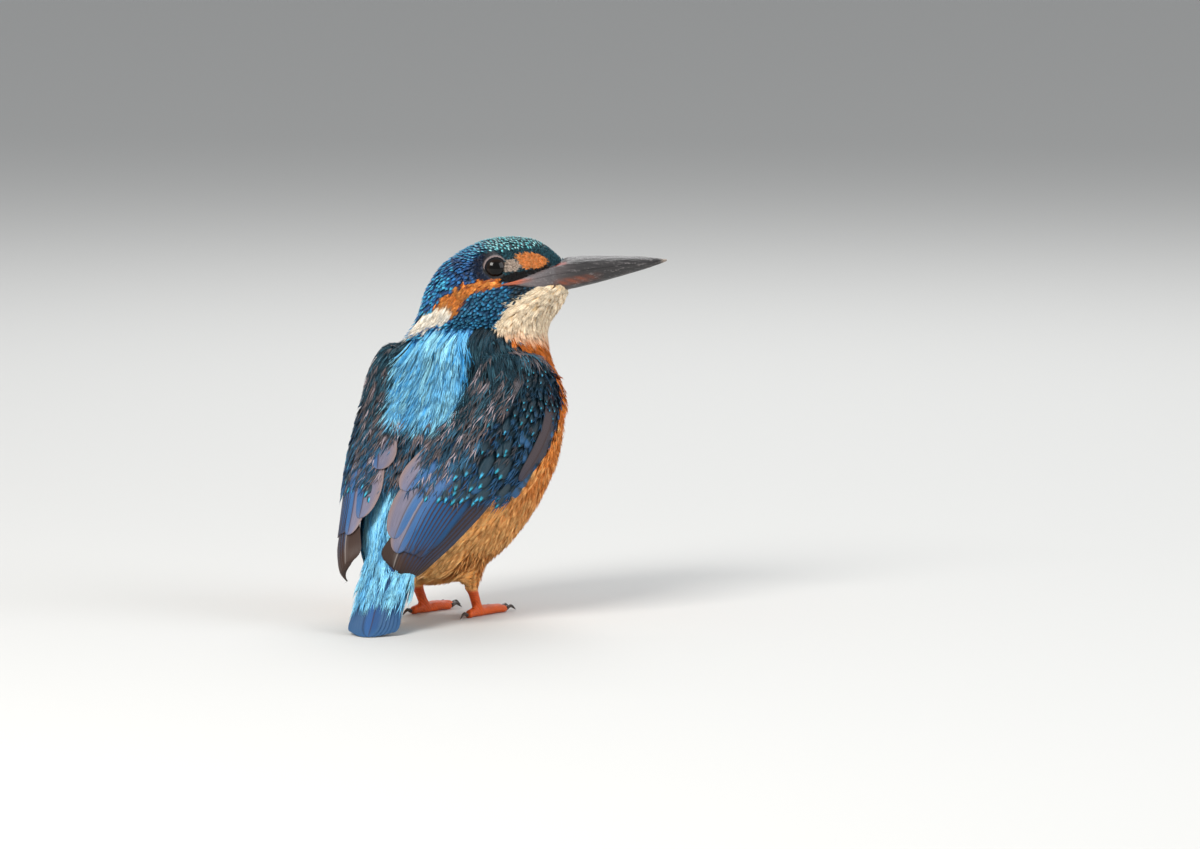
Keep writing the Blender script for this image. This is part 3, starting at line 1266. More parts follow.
# %% Size and lie of every feather
root_count = len(root_zones)
no_feather = (0, 0, 0, 0, 1, "")
sizes = np.array([COAT_OF.get(zone, no_feather)[:5] for zone in range(ZONE_COUNT)])[root_zones]
lengths = sizes[:, 0] * (0.85 + 0.3 * rng.random(root_count))
widths = sizes[:, 1] * (0.88 + 0.24 * rng.random(root_count))
lengths *= 1 - 0.35 * ease(roots["ahead"], 10, 16)  # shorter at the bill
yaw = rng.normal(0, 0.09, root_count) * np.where(root_zones == RUMP, 0.6, 1.0)
roll = rng.normal(0, 0.10, root_count)
dressed = root_zones != BARE
body_only = np.isin(root_zones, BODY_ONLY) & (roots["on_wing"] == 0)
flank = (root_zones == BREAST) & (roots["along"] > 0.2)
follows_wing = np.where(flank, 0, roots["on_wing"])


def walk_some(chosen):
    """Lays the chosen feathers' lines, and says what share of its length each one reaches."""
    line, ups = walk(roots["points"][chosen], lengths[chosen], follows_wing[chosen],
                     body_only[chosen], yaw[chosen])
    return line, ups, np.linalg.norm(line[:, -1] - line[:, 0], axis=-1) / lengths[chosen]


line, ups, reach = walk_some(np.arange(root_count))
FOLDED, SHORTENED, TOO_FOLDED = 0.6, 0.4, 0.5  # shares of a feather's length
folded = np.flatnonzero(dressed & (reach <= FOLDED))
lengths[folded] *= SHORTENED
line[folded], ups[folded], reach[folded] = walk_some(folded)
dressed &= reach > TOO_FOLDED
left_out = int((root_zones != BARE).sum() - dressed.sum())
print("grown short in folds:", len(folded), "left out:", left_out)

# %% How deep every feather lies
depth = coat_depth(roots["points"])
lift = sizes[:, 3] * rng.random(root_count)
QUILLS = [f"wing_{side}_{part}" for side in SIDES for part in ("primaries", "secondaries")]
quill_tree = packed_tree(QUILLS)
to_quills = np.minimum(distances(quill_tree, line[:, 2]), distances(quill_tree, line[:, 4]))
at_cloak = ease(roots["along"], 0.22, 0.28) * ease(roots["along"], 0.5, 0.42)
at_cloak = at_cloak * ease(roots["across"], 0.22, 0.12) * (roots["on_wing"] != 0)
press = np.where(body_only, 1.5 * ease(to_quills, 2.5, 0.4), 1.1 * at_cloak)
print("pressed under the quills:", int((press > 0.1).sum()), "feathers")


# %% Dress the bird
def laid(shape, chosen):
    bent = bend(shape, line[chosen], ups[chosen], widths[chosen], sizes[chosen, 2], depth[chosen],
                lift[chosen], sizes[chosen, 4], roll[chosen], press[chosen])
    return shape, bent, chosen


def dress(name, zones, material, where=True):
    """One piece from all the feathers of some zones."""
    batches = []
    for zone in zones:
        members = np.flatnonzero(dressed & (root_zones == zone) & where)
        kind = COAT_OF[zone][5]
        if kind == "scale":
            batches.append(laid(SMALL_SCALE, members))
        elif kind in FANS:
            batches += [laid(fan, members[k::4]) for k, fan in enumerate(FANS[kind])]
        else:  # one vane to each few fans of loose barbs
            vanes = noise[members, 2] < VANE_SHARE[zone]
            batches.append(laid(BIG_SCALE if kind == "mixed" else SMALL_SCALE, members[vanes]))
            batches += [laid(fan, members[~vanes][k::4]) for k, fan in enumerate(FANS["plume"])]
    coat_piece(name, batches, material)


on_left = roots["points"][:, 1] > 0
dress("head_feathers", (CROWN, NAPE, MALAR), scale_paint)
dress("face_down", (FACE, EAR, WHITE, THROAT), down_paint)
dress("mantle_strands", (MANTLE,), down_paint)
dress("scapular_feathers", (SCAPULAR,), down_paint)
dress("rump_strands", (RUMP,), down_paint)
dress("breast_down_left", (BREAST, THIGH), down_paint, on_left)
dress("breast_down_right", (BREAST, THIGH), down_paint, ~on_left)
dress("vent_down", (VENT,), down_paint)
dress("covert_feathers", (LESSER, MEDIAN, GREATER), scale_paint)

# %% [markdown]
# ## Feet and hidden skin
#
# The feet are sealing-wax red, cross-barred by scutes and pebbled between them. Each point of the
# skin keeps how far it lies from the ankle, so that the bars run across the toes. Under the coat
# the skin takes the colour of the feathers above it, broken up by noise, so that it passes for
# more feathers where it shows.

# %% Colour of the skin
FOOT_RED, SHANK_RED, FACE_SKIN = [0.76, 0.115, 0.016], [0.58, 0.068, 0.012], [0.012, 0.011, 0.012]
even = np.full((len(skin_zones), 4), 0.5)
skin_ground, skin_tip, _, _ = plumage(skin_place, skin_masks, skin_zones, even)
skin_colour = skin_ground * 0.7 + skin_tip * 0.3
skin_colour[skin_zones == BARE] = FACE_SKIN
skin_colour[(skin_zones == BARE) & (skin_points[:, 2] < 85.2)] = CREAM
foot = ease(skin_points[:, 2], 7.6, 6.6) * ease(skin_points[:, 0], -21, -19)
red = mix(FOOT_RED, SHANK_RED, 0.5 * ease(skin_points[:, 2], 3, 6))
set_colours(skin.data, "mark", np.column_stack([mix(skin_colour, red, foot), foot]))
ankle_gap = np.full(len(skin_points), 1e9)
for side in SIDES:
    foot_points = to_bird(vertex_array(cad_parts[f"foot_{side}"]))
    ankle = foot_points[foot_points[:, 2] > 6].mean(0)
    ankle_gap = np.minimum(ankle_gap, np.hypot(*(skin_points - ankle)[:, :2].T))
from_ankle = (ankle_gap + skin_points[:, 2]).astype(np.float32)
skin.data.attributes.new("run", "FLOAT", "POINT").data.foreach_set("value", from_ankle)
print("foot skin on", int((foot > 0.5).sum()), "points")

# %% Finish of the skin
skin_paint, skin_shader = new_material("skin", roughness=0.5, specular=0.35)
mark = add_node(skin_paint, "ShaderNodeAttribute", attribute_name="mark")
run = add_node(skin_paint, "ShaderNodeAttribute", attribute_name="run")
where = add_node(skin_paint, "ShaderNodeTexCoord")
cells = add_node(skin_paint, "ShaderNodeTexVoronoi", feature="DISTANCE_TO_EDGE", Scale=1500.0)
join_nodes(skin_paint, (where.outputs["Object"], cells.inputs["Vector"]))
grain, fine = object_noise(skin_paint, 700.0, 5.0), object_noise(skin_paint, 2400.0, 3.0)
foot_share = mark.outputs["Alpha"]
calc = calculator(skin_paint)
rows = calc("MULTIPLY_ADD", grain, 1.4, calc("MULTIPLY", run.outputs["Fac"], 3.6))
scutes = calc("POWER", calc("ABSOLUTE", calc("SINE", rows)), 0.45)
pebbles = calc("MULTIPLY", cells.outputs["Distance"], 3.2, clamp=True)
relief = calc("MULTIPLY", scutes, calc("MULTIPLY_ADD", pebbles, 0.35, 0.65))
foot_shade = calc("MULTIPLY_ADD", relief, 0.42, calc("MULTIPLY_ADD", grain, 0.7, 0.28))
hidden_shade = calc("MULTIPLY_ADD", fine, 1.5, 0.05)
shade = calc("ADD", calc("MULTIPLY", foot_shade, foot_share),
             calc("MULTIPLY", hidden_shade, calc("SUBTRACT", 1.0, foot_share)))
tint(skin_paint, skin_shader, mark.outputs["Color"], shade)
groove(skin_paint, skin_shader, calc("ADD", calc("MULTIPLY", relief, foot_share), fine), 0.8, 0.00016)
join_nodes(skin_paint, (calc("MULTIPLY_ADD", grain, 0.4, 0.25), skin_shader.inputs["Roughness"]))
skin.data.materials.append(skin_paint)
print("skin finish on", skin.name)

# %% [markdown]
# ## Wing and tail quills
#
# The stiff feathers of a closed wing lie like a shut fan. Each has a narrow outer web and a broad
# inner web on either side of its shaft, and slides under its inner neighbour, so that only the
# outer webs show as a stack of fine edges. They are laid from the outermost primary, at the
# bottom, to the three broad tertials on top. The tail is built the same way, with its middle pair
# uppermost.


# %% Closed sheets, and a piece made of them
def closed_sheet(top, bottom, colours, uv_grid):
    """Mesh data for a closed vane from its upper and lower grids of points, rows by columns."""
    rows, columns = top.shape[:2]
    count = rows * columns
    index = np.arange(count).reshape(rows, columns)
    a, b, c, d = index[:-1, :-1], index[:-1, 1:], index[1:, 1:], index[1:, :-1]
    upper = np.stack([a, b, c, d], -1).reshape(-1, 4)
    lower = np.stack([a, d, c, b], -1).reshape(-1, 4) + count
    rim = np.concatenate([index[0, :-1], index[:-1, -1], index[-1, :0:-1], index[:0:-1, 0]])
    after = np.roll(rim, -1)
    side = np.stack([after, rim, rim + count, after + count], -1)
    points = np.concatenate([top.reshape(-1, 3), bottom.reshape(-1, 3)])
    return (points, np.concatenate([upper, lower, side]),
            np.tile(colours.reshape(-1, 3), (2, 1)), np.tile(uv_grid.reshape(-1, 2), (2, 1)))


MAP_LANES, LANE_SIZE, LANE_GAP = 12, [0.07, 0.48], 0.004  # each vane has a lane of the map to itself


def quill_piece(name, sheets, material, node_names):
    """One mesh from all the closed vanes of a wing or tail, with the colour of each point."""
    points, faces, colours, uvs = [], [], [], []
    first = 0
    for sheet_points, sheet_faces, sheet_colours, sheet_uv in sheets:
        if side_volume(sheet_points, sheet_faces) < 0:
            sheet_faces = sheet_faces[:, ::-1]
        points.append(sheet_points)
        faces.append(sheet_faces + first)
        colours.append(sheet_colours)
        uvs.append(sheet_uv)
        first += len(sheet_points)
    points, faces = np.concatenate(points), np.concatenate(faces)
    mesh = bpy.data.meshes.new(name)
    mesh.from_pydata(to_world(points).tolist(), [], faces.tolist())
    set_colours(mesh, "ground", np.column_stack([np.concatenate(colours), np.ones(len(points))]))
    lanes = np.arange(len(sheets))
    corner = np.stack([lanes % MAP_LANES / MAP_LANES, lanes // MAP_LANES / 2], -1) + LANE_GAP
    bake = [uv * LANE_SIZE + start for uv, start in zip(uvs, corner)]
    for layer, values in (("OFBake", bake), ("vane", uvs)):
        set_map(mesh, layer, np.concatenate(values)[faces.ravel()])
    mesh.materials.append(material)
    piece = bpy.data.objects.new(name, mesh)
    bpy.context.collection.objects.link(piece)
    select_only(piece)
    bpy.ops.object.shade_smooth_by_angle(angle=math.radians(50))
    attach(piece, "root")
    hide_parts(*node_names)
    print(name, len(sheets), "vanes,", len(points), "vertices")


print("lanes of a quill's map:", MAP_LANES)

# %% Shape of a quill
QUILL_ACROSS = np.array([-1, -0.86, -0.6, -0.3, -0.09, -0.04, 0, 0.04, 0.09, 0.3, 0.6, 0.86, 1])
round_end = np.sin(np.linspace(0, 1, 10)[1:] * np.pi / 2)
QUILL_ALONG = np.concatenate([np.linspace(0, 0.78, 14), 0.78 + 0.22 * round_end])
INSIDE_BODY = np.array([-12.0, 0.0, 34.0])  # quills face away from here


def quill_grid(place, root, tip, bow, outer, inner, depth_root, depth_tip,
               thick=0.13, round_tip=0.22, camber=0.16, clear_by=0.5):
    """Bends one vane over a surface. Root and tip are places on it, webs are in millimetres."""
    v = QUILL_ALONG[:, None]
    u = QUILL_ACROSS[None, :]
    end = np.clip((v - (1 - round_tip)) / round_tip, 0, 1)
    width = np.clip(0.45 + 1.6 * v, 0, 1) * np.sqrt(np.clip(1 - end**2.2, 0.0, 1)) + 0.015
    web = np.where(u < 0, outer, inner) * width
    along = root[0] + (tip[0] - root[0]) * v + 0 * u
    across = root[1] + (tip[1] - root[1]) * v + bow * np.sin(np.pi * v) + 0 * u
    flat = place(along, across, u * web)
    d_along = place(along + 0.004, across, u * web) - flat
    d_across = place(along, across, u * web + 0.2) - flat
    normal = unit(np.cross(d_along, d_across))
    normal *= np.sign((normal * (flat - INSIDE_BODY)).sum(-1, keepdims=True))
    deep = depth_root + (depth_tip - depth_root) * ease(v, 0.0, clear_by)
    arch = camber * (1 - u**2) - 0.05 * u**2
    shaft = 0.10 * np.exp(-((u * 14) ** 2)) * (1 - 0.8 * v)
    under = arch - 0.3 * shaft - deep - thick * (1 - 0.75 * u**2)
    top = flat + normal * (arch + shaft - deep)[..., None]
    bottom = flat + normal * under[..., None]
    return top, bottom, np.stack(np.broadcast_arrays((u + 1) / 2, v), -1)


print("a quill has", len(QUILL_ALONG), "rows of", len(QUILL_ACROSS), "points")


# %% Colour and finish of a quill
def quill_colours(outer, inner, tip, margin, shaft, tip_from, margin_from=0.55):
    u, v = np.meshgrid(QUILL_ACROSS, QUILL_ALONG)
    colour = mix(outer, inner, ease(u, -0.12, 0.12))
    colour = mix(colour, tip, ease(v, tip_from - 0.12, tip_from + 0.12))
    colour = mix(colour, margin, ease(u, margin_from, 0.95) * ease(v, 0.1, 0.4) * 0.8)
    colour = mix(colour, shaft, np.exp(-((u * 16) ** 2)) * 0.85)
    colour = mix(colour, INK, ease(u, -0.72, -0.98) * 0.75)
    return colour


def quill_paint(name):
    paint, shader = new_material(name, 0.42, 0.25)
    vane = add_node(paint, "ShaderNodeUVMap", uv_map="vane")
    split = add_node(paint, "ShaderNodeSeparateXYZ")
    colour = add_node(paint, "ShaderNodeAttribute", attribute_name="ground")
    stretch = add_node(paint, "ShaderNodeMapping")
    stretch.inputs["Scale"].default_value = (16.0, 2.2, 1.0)
    streak = add_node(paint, "ShaderNodeTexNoise", Scale=3.0, Detail=4.0)
    join_nodes(paint, (vane.outputs["UV"], split.inputs[0]),
               (vane.outputs["UV"], stretch.inputs["Vector"]),
               (stretch.outputs[0], streak.inputs["Vector"]))
    streak = streak.outputs["Fac"]
    grain = object_noise(paint, 900.0, 4.0)
    calc = calculator(paint)
    across = calc("ABSOLUTE", calc("MULTIPLY_ADD", split.outputs[0], 2.0, -1.0))
    slope = calc("MULTIPLY_ADD", across, -58.0, calc("MULTIPLY", split.outputs[1], 520.0))
    barbs = calc("SINE", calc("MULTIPLY_ADD", grain, 2.5, slope))
    off_shaft = calc("MULTIPLY_ADD", across, 5.0, -0.3, clamp=True)
    comb = calc("MULTIPLY", barbs, off_shaft)
    shade = calc("MULTIPLY_ADD", comb, 0.07, calc("MULTIPLY_ADD", streak, 0.9, 0.52))
    tint(paint, shader, colour.outputs["Color"], shade)
    groove(paint, shader, comb, 0.35, 0.00008)
    join_nodes(paint, (calc("MULTIPLY_ADD", streak, 0.3, 0.28), shader.inputs["Roughness"]))
    return paint


quill_finish = quill_paint("quills")
print("finish:", quill_finish.name)

# %% Quills of a wing
BROWN, BROWN_LIGHT, BUFF = [0.046, 0.026, 0.020], [0.10, 0.058, 0.042], [0.27, 0.18, 0.15]
SLATE, BLUE, BLUE_GREY = [0.014, 0.045, 0.115], [0.008, 0.090, 0.25], [0.050, 0.135, 0.31]
SHAFT_DARK, SHAFT_PALE = [0.045, 0.018, 0.012], [0.30, 0.26, 0.24]
CLOAK, CLOAK_INNER, CLOAK_TIP = [0.040, 0.032, 0.045], [0.062, 0.042, 0.048], [0.045, 0.040, 0.060]
SHORTER = {"right": 0.0, "left": 0.07}  # the left wing hangs lower, and shows more of its long tips
TERTIALS = ((0.56, 0.93, 0.80, 4.4), (0.735, 0.88, 0.72, 4.4), (0.80, 0.78, 0.62, 4.2))
PRIMARY_TIPS = (0.87, 0.89, 0.915, 0.935, 0.955, 0.975, 0.99, 1.0, 0.985, 0.93)
SECONDARIES = 8


def on_wing_surface(side):
    """A function that finds points of one closed wing, some millimetres aside of a place on it."""
    def place(along, across, aside):
        chord = wing_place(side, along, 0.75) - wing_place(side, along, 0.25)
        width = np.maximum(np.linalg.norm(chord, axis=-1) * 2, 9.0)
        return wing_place(side, np.clip(along, 0, 1.02), np.clip(across + aside / width, -0.12, 1.1))
    return place


def wing_quills(side, dice):
    """Root, tip, bow, outer web, inner web, colours and rounding, from the top of the stack down."""
    quills = []
    for tip_along, tip_across, root_across, inner_web in TERTIALS:
        paint = quill_colours(mix(BLUE_GREY, BLUE, 0.3), mix(BLUE_GREY, BUFF, 0.55),
                              mix(BLUE_GREY, BUFF, 0.3), BUFF, SHAFT_DARK, 0.97, 0.72)
        tip = (tip_along - SHORTER[side], tip_across)
        quills.append(((0.30, root_across), tip, 0.02, 3.6, inner_web, paint, 0.5))
    for i in range(SECONDARIES):
        share = i / (SECONDARIES - 1)
        paint = quill_colours(mix(BLUE, SLATE, 0.25 * share), BROWN,
                              mix(BLUE, BROWN, 0.5 + 0.3 * share), BROWN_LIGHT, SHAFT_DARK, 0.93)
        root = (0.36 - 0.02 * share, 0.62 - 0.36 * share)
        tip = (0.775 - SHORTER[side] + 0.02 * np.sin(2.4 * i), 0.66 - 0.32 * share)
        quills.append((root, tip, 0.03, 2.0, 4.0, paint, 0.25))
    for i, tip_along in enumerate(PRIMARY_TIPS):
        share = i / (len(PRIMARY_TIPS) - 1)
        outer = mix(mix(SLATE, BLUE, 0.35), BROWN, 0.25 + 0.3 * share)
        paint = quill_colours(outer, BROWN, mix(BROWN, BROWN_LIGHT, 0.3 * dice.random()), BROWN,
                              SHAFT_PALE if i == 0 else SHAFT_DARK, 0.80 - 0.06 * share)
        root = (0.40 + 0.02 * share, 0.36 - 0.30 * share)
        quills.append((root, (tip_along, 0.82 - 0.66 * share), 0.05 - 0.04 * share,
                       1.45, 4.2, paint, 0.2))
    return quills


print("quills of a wing:", len(TERTIALS) + SECONDARIES + len(PRIMARY_TIPS))


# %% Both wings
def wing_sheets(side):
    """All the vanes of a wing: the long feather along its front edge, then the stack of quills."""
    place = on_wing_surface(side)
    dice = np.random.default_rng(20 + SIDES[side])
    cloak = quill_colours(CLOAK, CLOAK_INNER, CLOAK_TIP, INK, SHAFT_DARK, 0.9, 0.85)
    top, bottom, grid_uv = quill_grid(place, (0.15, 0.15), (0.47, 0.05), 0.0, 2.3, 2.6, 1.0, -0.9,
                                      round_tip=0.3, clear_by=0.6)
    sheets = [closed_sheet(top, bottom, cloak, grid_uv)]
    for k, (root, tip, bow, outer, inner, paint, rounding) in enumerate(wing_quills(side, dice)):
        deep = 0.12 + 0.09 * k if k < len(TERTIALS) else 0.40 + 0.055 * (k - len(TERTIALS))
        top, bottom, grid_uv = quill_grid(
            place, root, tip, bow, outer, inner, 1.5 + 0.06 * k, deep, round_tip=rounding,
            clear_by=min(0.95, (0.60 - root[0]) / (tip[0] - root[0])),
        )
        paint = paint * (0.9 + 0.2 * dice.random())
        sheets.append(closed_sheet(top, bottom, paint, grid_uv))
    return sheets


for side in SIDES:
    quill_piece(f"wing_quills_{side}", wing_sheets(side), quill_finish,
                [f"wing_{side}_secondaries", f"wing_{side}_primaries"])

# %% Tail
TAIL_FEATHERS = 12
FLOOR_GAP = 0.12  # mm that the lowest vanes keep off the floor
TAIL_BLUE, TAIL_INNER, TAIL_TIP, TAIL_MARGIN = (
    [0.022, 0.095, 0.27], [0.016, 0.07, 0.20], [0.03, 0.105, 0.25], [0.04, 0.11, 0.22])
TAIL_SIZES = np.array([  # share of the length, half the width, half the depth
    [0.0, 7.6, 6.0], [0.3, 8.0, 4.4], [0.6, 8.2, 2.5],
    [0.85, 8.4, 1.3], [0.96, 8.0, 1.0], [1.0, 7.6, 0.9],
])


def tail_surface(along, across, aside):
    """A point of the tail's upper side: along from root to tip, across in half-widths."""
    wide = np.interp(along, TAIL_SIZES[:, 0], TAIL_SIZES[:, 1])
    deep = np.interp(along, TAIL_SIZES[:, 0], TAIL_SIZES[:, 2])
    x = across * wide + aside
    over = deep * np.sqrt(np.clip(1 - (x / (wide + 1.2)) ** 2, 0, 1)) - 0.022 * x**2
    out = TAIL_ROOT + TAIL_WAY * (along * TAIL_LENGTH)[..., None]
    return out + TAIL_ACROSS * x[..., None] + TAIL_OVER * over[..., None]


tail_sheets = []
for k in range(TAIL_FEATHERS):
    pair, sign = k // 2, (1, -1)[k % 2]
    lane = (pair + 0.5) / 6 * sign
    paint = quill_colours(TAIL_BLUE, TAIL_INNER, TAIL_TIP, TAIL_MARGIN, SHAFT_DARK, 0.94)
    paint = paint if sign > 0 else paint[:, ::-1]
    top, bottom, grid_uv = quill_grid(
        tail_surface, (0.15, lane * 0.35), (0.995 - 0.012 * pair**1.4, lane * 0.72), 0.0,
        2.5, 2.5, 1.8 + 0.13 * k, 0.12 + 0.13 * k, round_tip=0.2, camber=0.1, clear_by=0.8)
    tail_sheets.append(closed_sheet(top, bottom, paint, grid_uv))
for sheet_points, *_ in tail_sheets:
    sheet_points[:, 2] = np.maximum(sheet_points[:, 2], FLOOR_GAP)
quill_piece("tail_quills", tail_sheets, quill_finish, ["tail"])

# %% [markdown]
# ## Bill
#
# A kingfisher's bill is a long straight dagger: two horny sheaths that meet along a slightly
# rising mouth line, with a blunt ridge on top and a wedge at each side that runs back under the
# eye. Each half is a flat grid, rolled into a trough that reaches from the gape to the tip. Its
# points take their height from the profile, and their width from the head or from the bill.


# %% Outline of the bill
BILL_AHEAD = np.array([1.9, 5.5, 9.3, 13.0, 16.5, 18.6, 22.0, 27.0, 33.0, 38.5, 42.5, 44.6])
MOUTH_LINE = np.array([85.8, 86.3, 86.9, 87.5, 88.0, 88.3, 88.8, 89.4, 90.1, 90.6, 90.95, 91.15])
BILL_TOP = np.array([85.95, 86.9, 88.4, 89.6, 90.8, 91.7, 92.0, 92.1, 92.05, 91.9, 91.6, 91.3])
BILL_UNDER = np.array([85.65, 85.3, 83.7, 83.4, 83.4, 83.5, 84.3, 85.5, 87.2, 88.8, 90.1, 91.0])
BILL_WIDE = np.array([4.6, 4.8, 5.2, 5.5, 5.6, 5.3, 4.6, 3.75, 2.85, 1.9, 1.0, 0.22])
GAPE, BILL_TIP = BILL_AHEAD[0], BILL_AHEAD[-1]
RINGS, AROUND = 72, 40


def head_half_width(ahead, height):
    """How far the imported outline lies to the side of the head's middle."""
    widths = []
    for f, z in zip(np.ravel(ahead), np.ravel(height)):
        from_middle = Vector(head_point(f, 0, z))
        hit = whole_guide.ray_cast(Vector(head_point(f, 0, z) + HEAD_LEFT * 30), Vector(-HEAD_LEFT))
        widths.append((Vector(hit[0]) - from_middle).dot(Vector(HEAD_LEFT)) - PUFF if hit[0] else 0)
    return np.array(widths).reshape(np.shape(ahead))


print("the bill is", round(BILL_TIP - GAPE, 1), "mm from the gape to the tip")


# %% Upper and lower sheath
def sheath_points(f, angle, upper):
    """Points of half the bill: f ahead of the eyes, the angle from one mouth line over to the other."""
    mouth = np.interp(f, BILL_AHEAD, MOUTH_LINE)
    edge = np.interp(f, BILL_AHEAD, BILL_TOP if upper else BILL_UNDER)
    wide = np.interp(f, BILL_AHEAD, BILL_WIDE)
    on_head = ease(f, 17.5, 13.0)
    power = 2.0 + 2.4 * on_head
    c, s = np.cos(angle), np.sin(angle)
    out = np.sign(c) * np.abs(c) ** (2 / power)
    rise = np.abs(s) ** (2 / (power if upper else power * 0.92))

    # the ridge on top, the furrow beside it, and fine wrinkles that fade towards the tip
    from_ridge = angle - np.pi / 2
    ridge = 0.16 * np.exp(-((from_ridge / 0.22) ** 2)) * ease(f, 17, 20) * ease(f, 44, 36)
    ridge = ridge * (1 if upper else 0.5)
    furrow = (0.22 * np.exp(-(((np.abs(from_ridge) - 0.62) / 0.13) ** 2))
              * ease(f, 15, 18) * ease(f, 32, 22))
    wrinkle = (np.sin(13 * angle + 0.8 * f + 1.3 * np.sin(0.9 * f))
               + 0.6 * np.sin(29 * angle - 0.5 * f + 2 * np.sin(0.7 * f)))
    wrinkle *= 0.05 * s * (0.35 + 0.65 * ease(f, 30, 14))

    # the wedge at the side of the face is as wide as the head there
    rings = GAPE + (BILL_TIP - GAPE) * np.linspace(0, 1, RINGS)
    at_height = np.interp(rings, BILL_AHEAD, MOUTH_LINE) + (0.5 if upper else -0.6)
    on_skull = np.interp(f, rings, head_half_width(rings, at_height)) + 0.12
    width = wide * (1 - on_head) + np.maximum(on_skull, wide) * on_head + (0.10 if upper else 0.0)
    width += wrinkle * (1 - on_head) - (furrow if upper else 0)
    points = head_point(0, 0, 0) * [1, 1, 0] + np.outer(f, HEAD_WAY) + np.outer(out * width, HEAD_LEFT)
    height = mouth + (edge - mouth) * rise + (ridge + wrinkle if upper else -ridge - wrinkle)
    points[:, 2] = height + (0.02 if upper else -0.05)
    return points


def sheath(name, node, upper):
    """Half of the bill: a grid is rolled into a trough along the head's way, and closed."""
    bpy.ops.object.select_all(action="DESELECT")
    bpy.ops.mesh.primitive_grid_add(x_subdivisions=AROUND - 1, y_subdivisions=RINGS - 1, size=2)
    piece = bpy.context.object
    piece.name = name
    turn, ahead, _ = vertex_array(piece).T
    f = GAPE + (BILL_TIP - GAPE) * ((ahead - ahead.min()) / np.ptp(ahead))
    angle = (turn - turn.min()) / np.ptp(turn) * np.pi
    set_vertices(piece, to_world(sheath_points(f, angle, upper)))
    select_only(piece)
    bpy.ops.object.mode_set(mode="EDIT")
    bpy.ops.mesh.select_all(action="DESELECT")
    bpy.ops.mesh.select_non_manifold()
    bpy.ops.mesh.edge_face_add()
    bpy.ops.mesh.select_all(action="SELECT")
    bpy.ops.mesh.normals_make_consistent(inside=False)
    bpy.ops.object.mode_set(mode="OBJECT")
    bpy.ops.object.shade_smooth_by_angle(angle=math.radians(40))
    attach(piece, "root")
    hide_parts(node)
    return piece


bill_upper = sheath("bill_upper_sheath", "bill_upper", True)
bill_lower = sheath("bill_lower_sheath", "bill_lower", False)
print("bill:", len(bill_upper.data.polygons) + len(bill_lower.data.polygons), "faces")

# %% [markdown]
# ## Eyes
#
# The eye is big, round and nearly black, with a dark brown iris that shows only at its edge. It
# sits in a bare greyish lid. A smooth ball takes the place of each packed one, set as deep as the
# face around it asks. A ring in the shape of the lid grips the ball, and slopes down all round
# until the feathers cover it.

# %% Finishes of the eye and the lid
EYE_RADIUS = 3.3
EYE_PROUD = 0.85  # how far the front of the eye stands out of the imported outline
EYE_AHEAD = 0.16  # how much an eye looks ahead, as a slope
PUPIL, IRIS, LID_GREY, LID_BLACK = (
    [0.0015, 0.0012, 0.001], [0.010, 0.005, 0.003], [0.22, 0.165, 0.16], [0.008, 0.009, 0.014])
LID_EDGE = np.array([  # the lid in section: radius from the eye's axis, height above its middle
    [2.90, 1.72], [3.02, 1.80], [3.17, 1.68], [3.29, 1.40], [3.50, 0.95], [3.85, 0.35],
    [4.25, -0.35], [4.60, -1.20], [4.40, -1.60], [3.90, -1.30], [3.40, -0.30], [3.12, 0.70],
])

eye_paint, eye_shader = new_material("eye", roughness=0.05, specular=0.25)
pupil = add_node(eye_paint, "ShaderNodeAttribute", attribute_name="ground")
join_nodes(eye_paint, (pupil.outputs["Color"], eye_shader.inputs["Base Color"]))
lid_paint, lid_shader = new_material("eyelid", roughness=0.5, specular=0.3)
lid_colour = add_node(lid_paint, "ShaderNodeAttribute", attribute_name="ground")
grain = object_noise(lid_paint, 2600.0, 3.0)
lid_shade = calculator(lid_paint)("MULTIPLY_ADD", grain, 1.6, 0.1)
tint(lid_paint, lid_shader, lid_colour.outputs["Color"], lid_shade)
groove(lid_paint, lid_shader, grain, 0.6, 0.0001)
print("finishes:", eye_paint.name, lid_paint.name)


# %% Eyeballs and lids
def paint_points(piece, colours):
    """Gives each point of a piece a colour of its own."""
    set_colours(piece.data, "ground", np.column_stack([colours, np.ones(len(colours))]))


def settle(piece, name, paint):
    """Brings a piece's object to the origin with its place kept, and names and paints it."""
    select_only(piece)
    bpy.ops.object.transform_apply(location=True, rotation=True, scale=True)
    bpy.ops.object.shade_smooth()
    piece.name = name
    piece.data.materials.append(paint)
    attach(piece, "root")


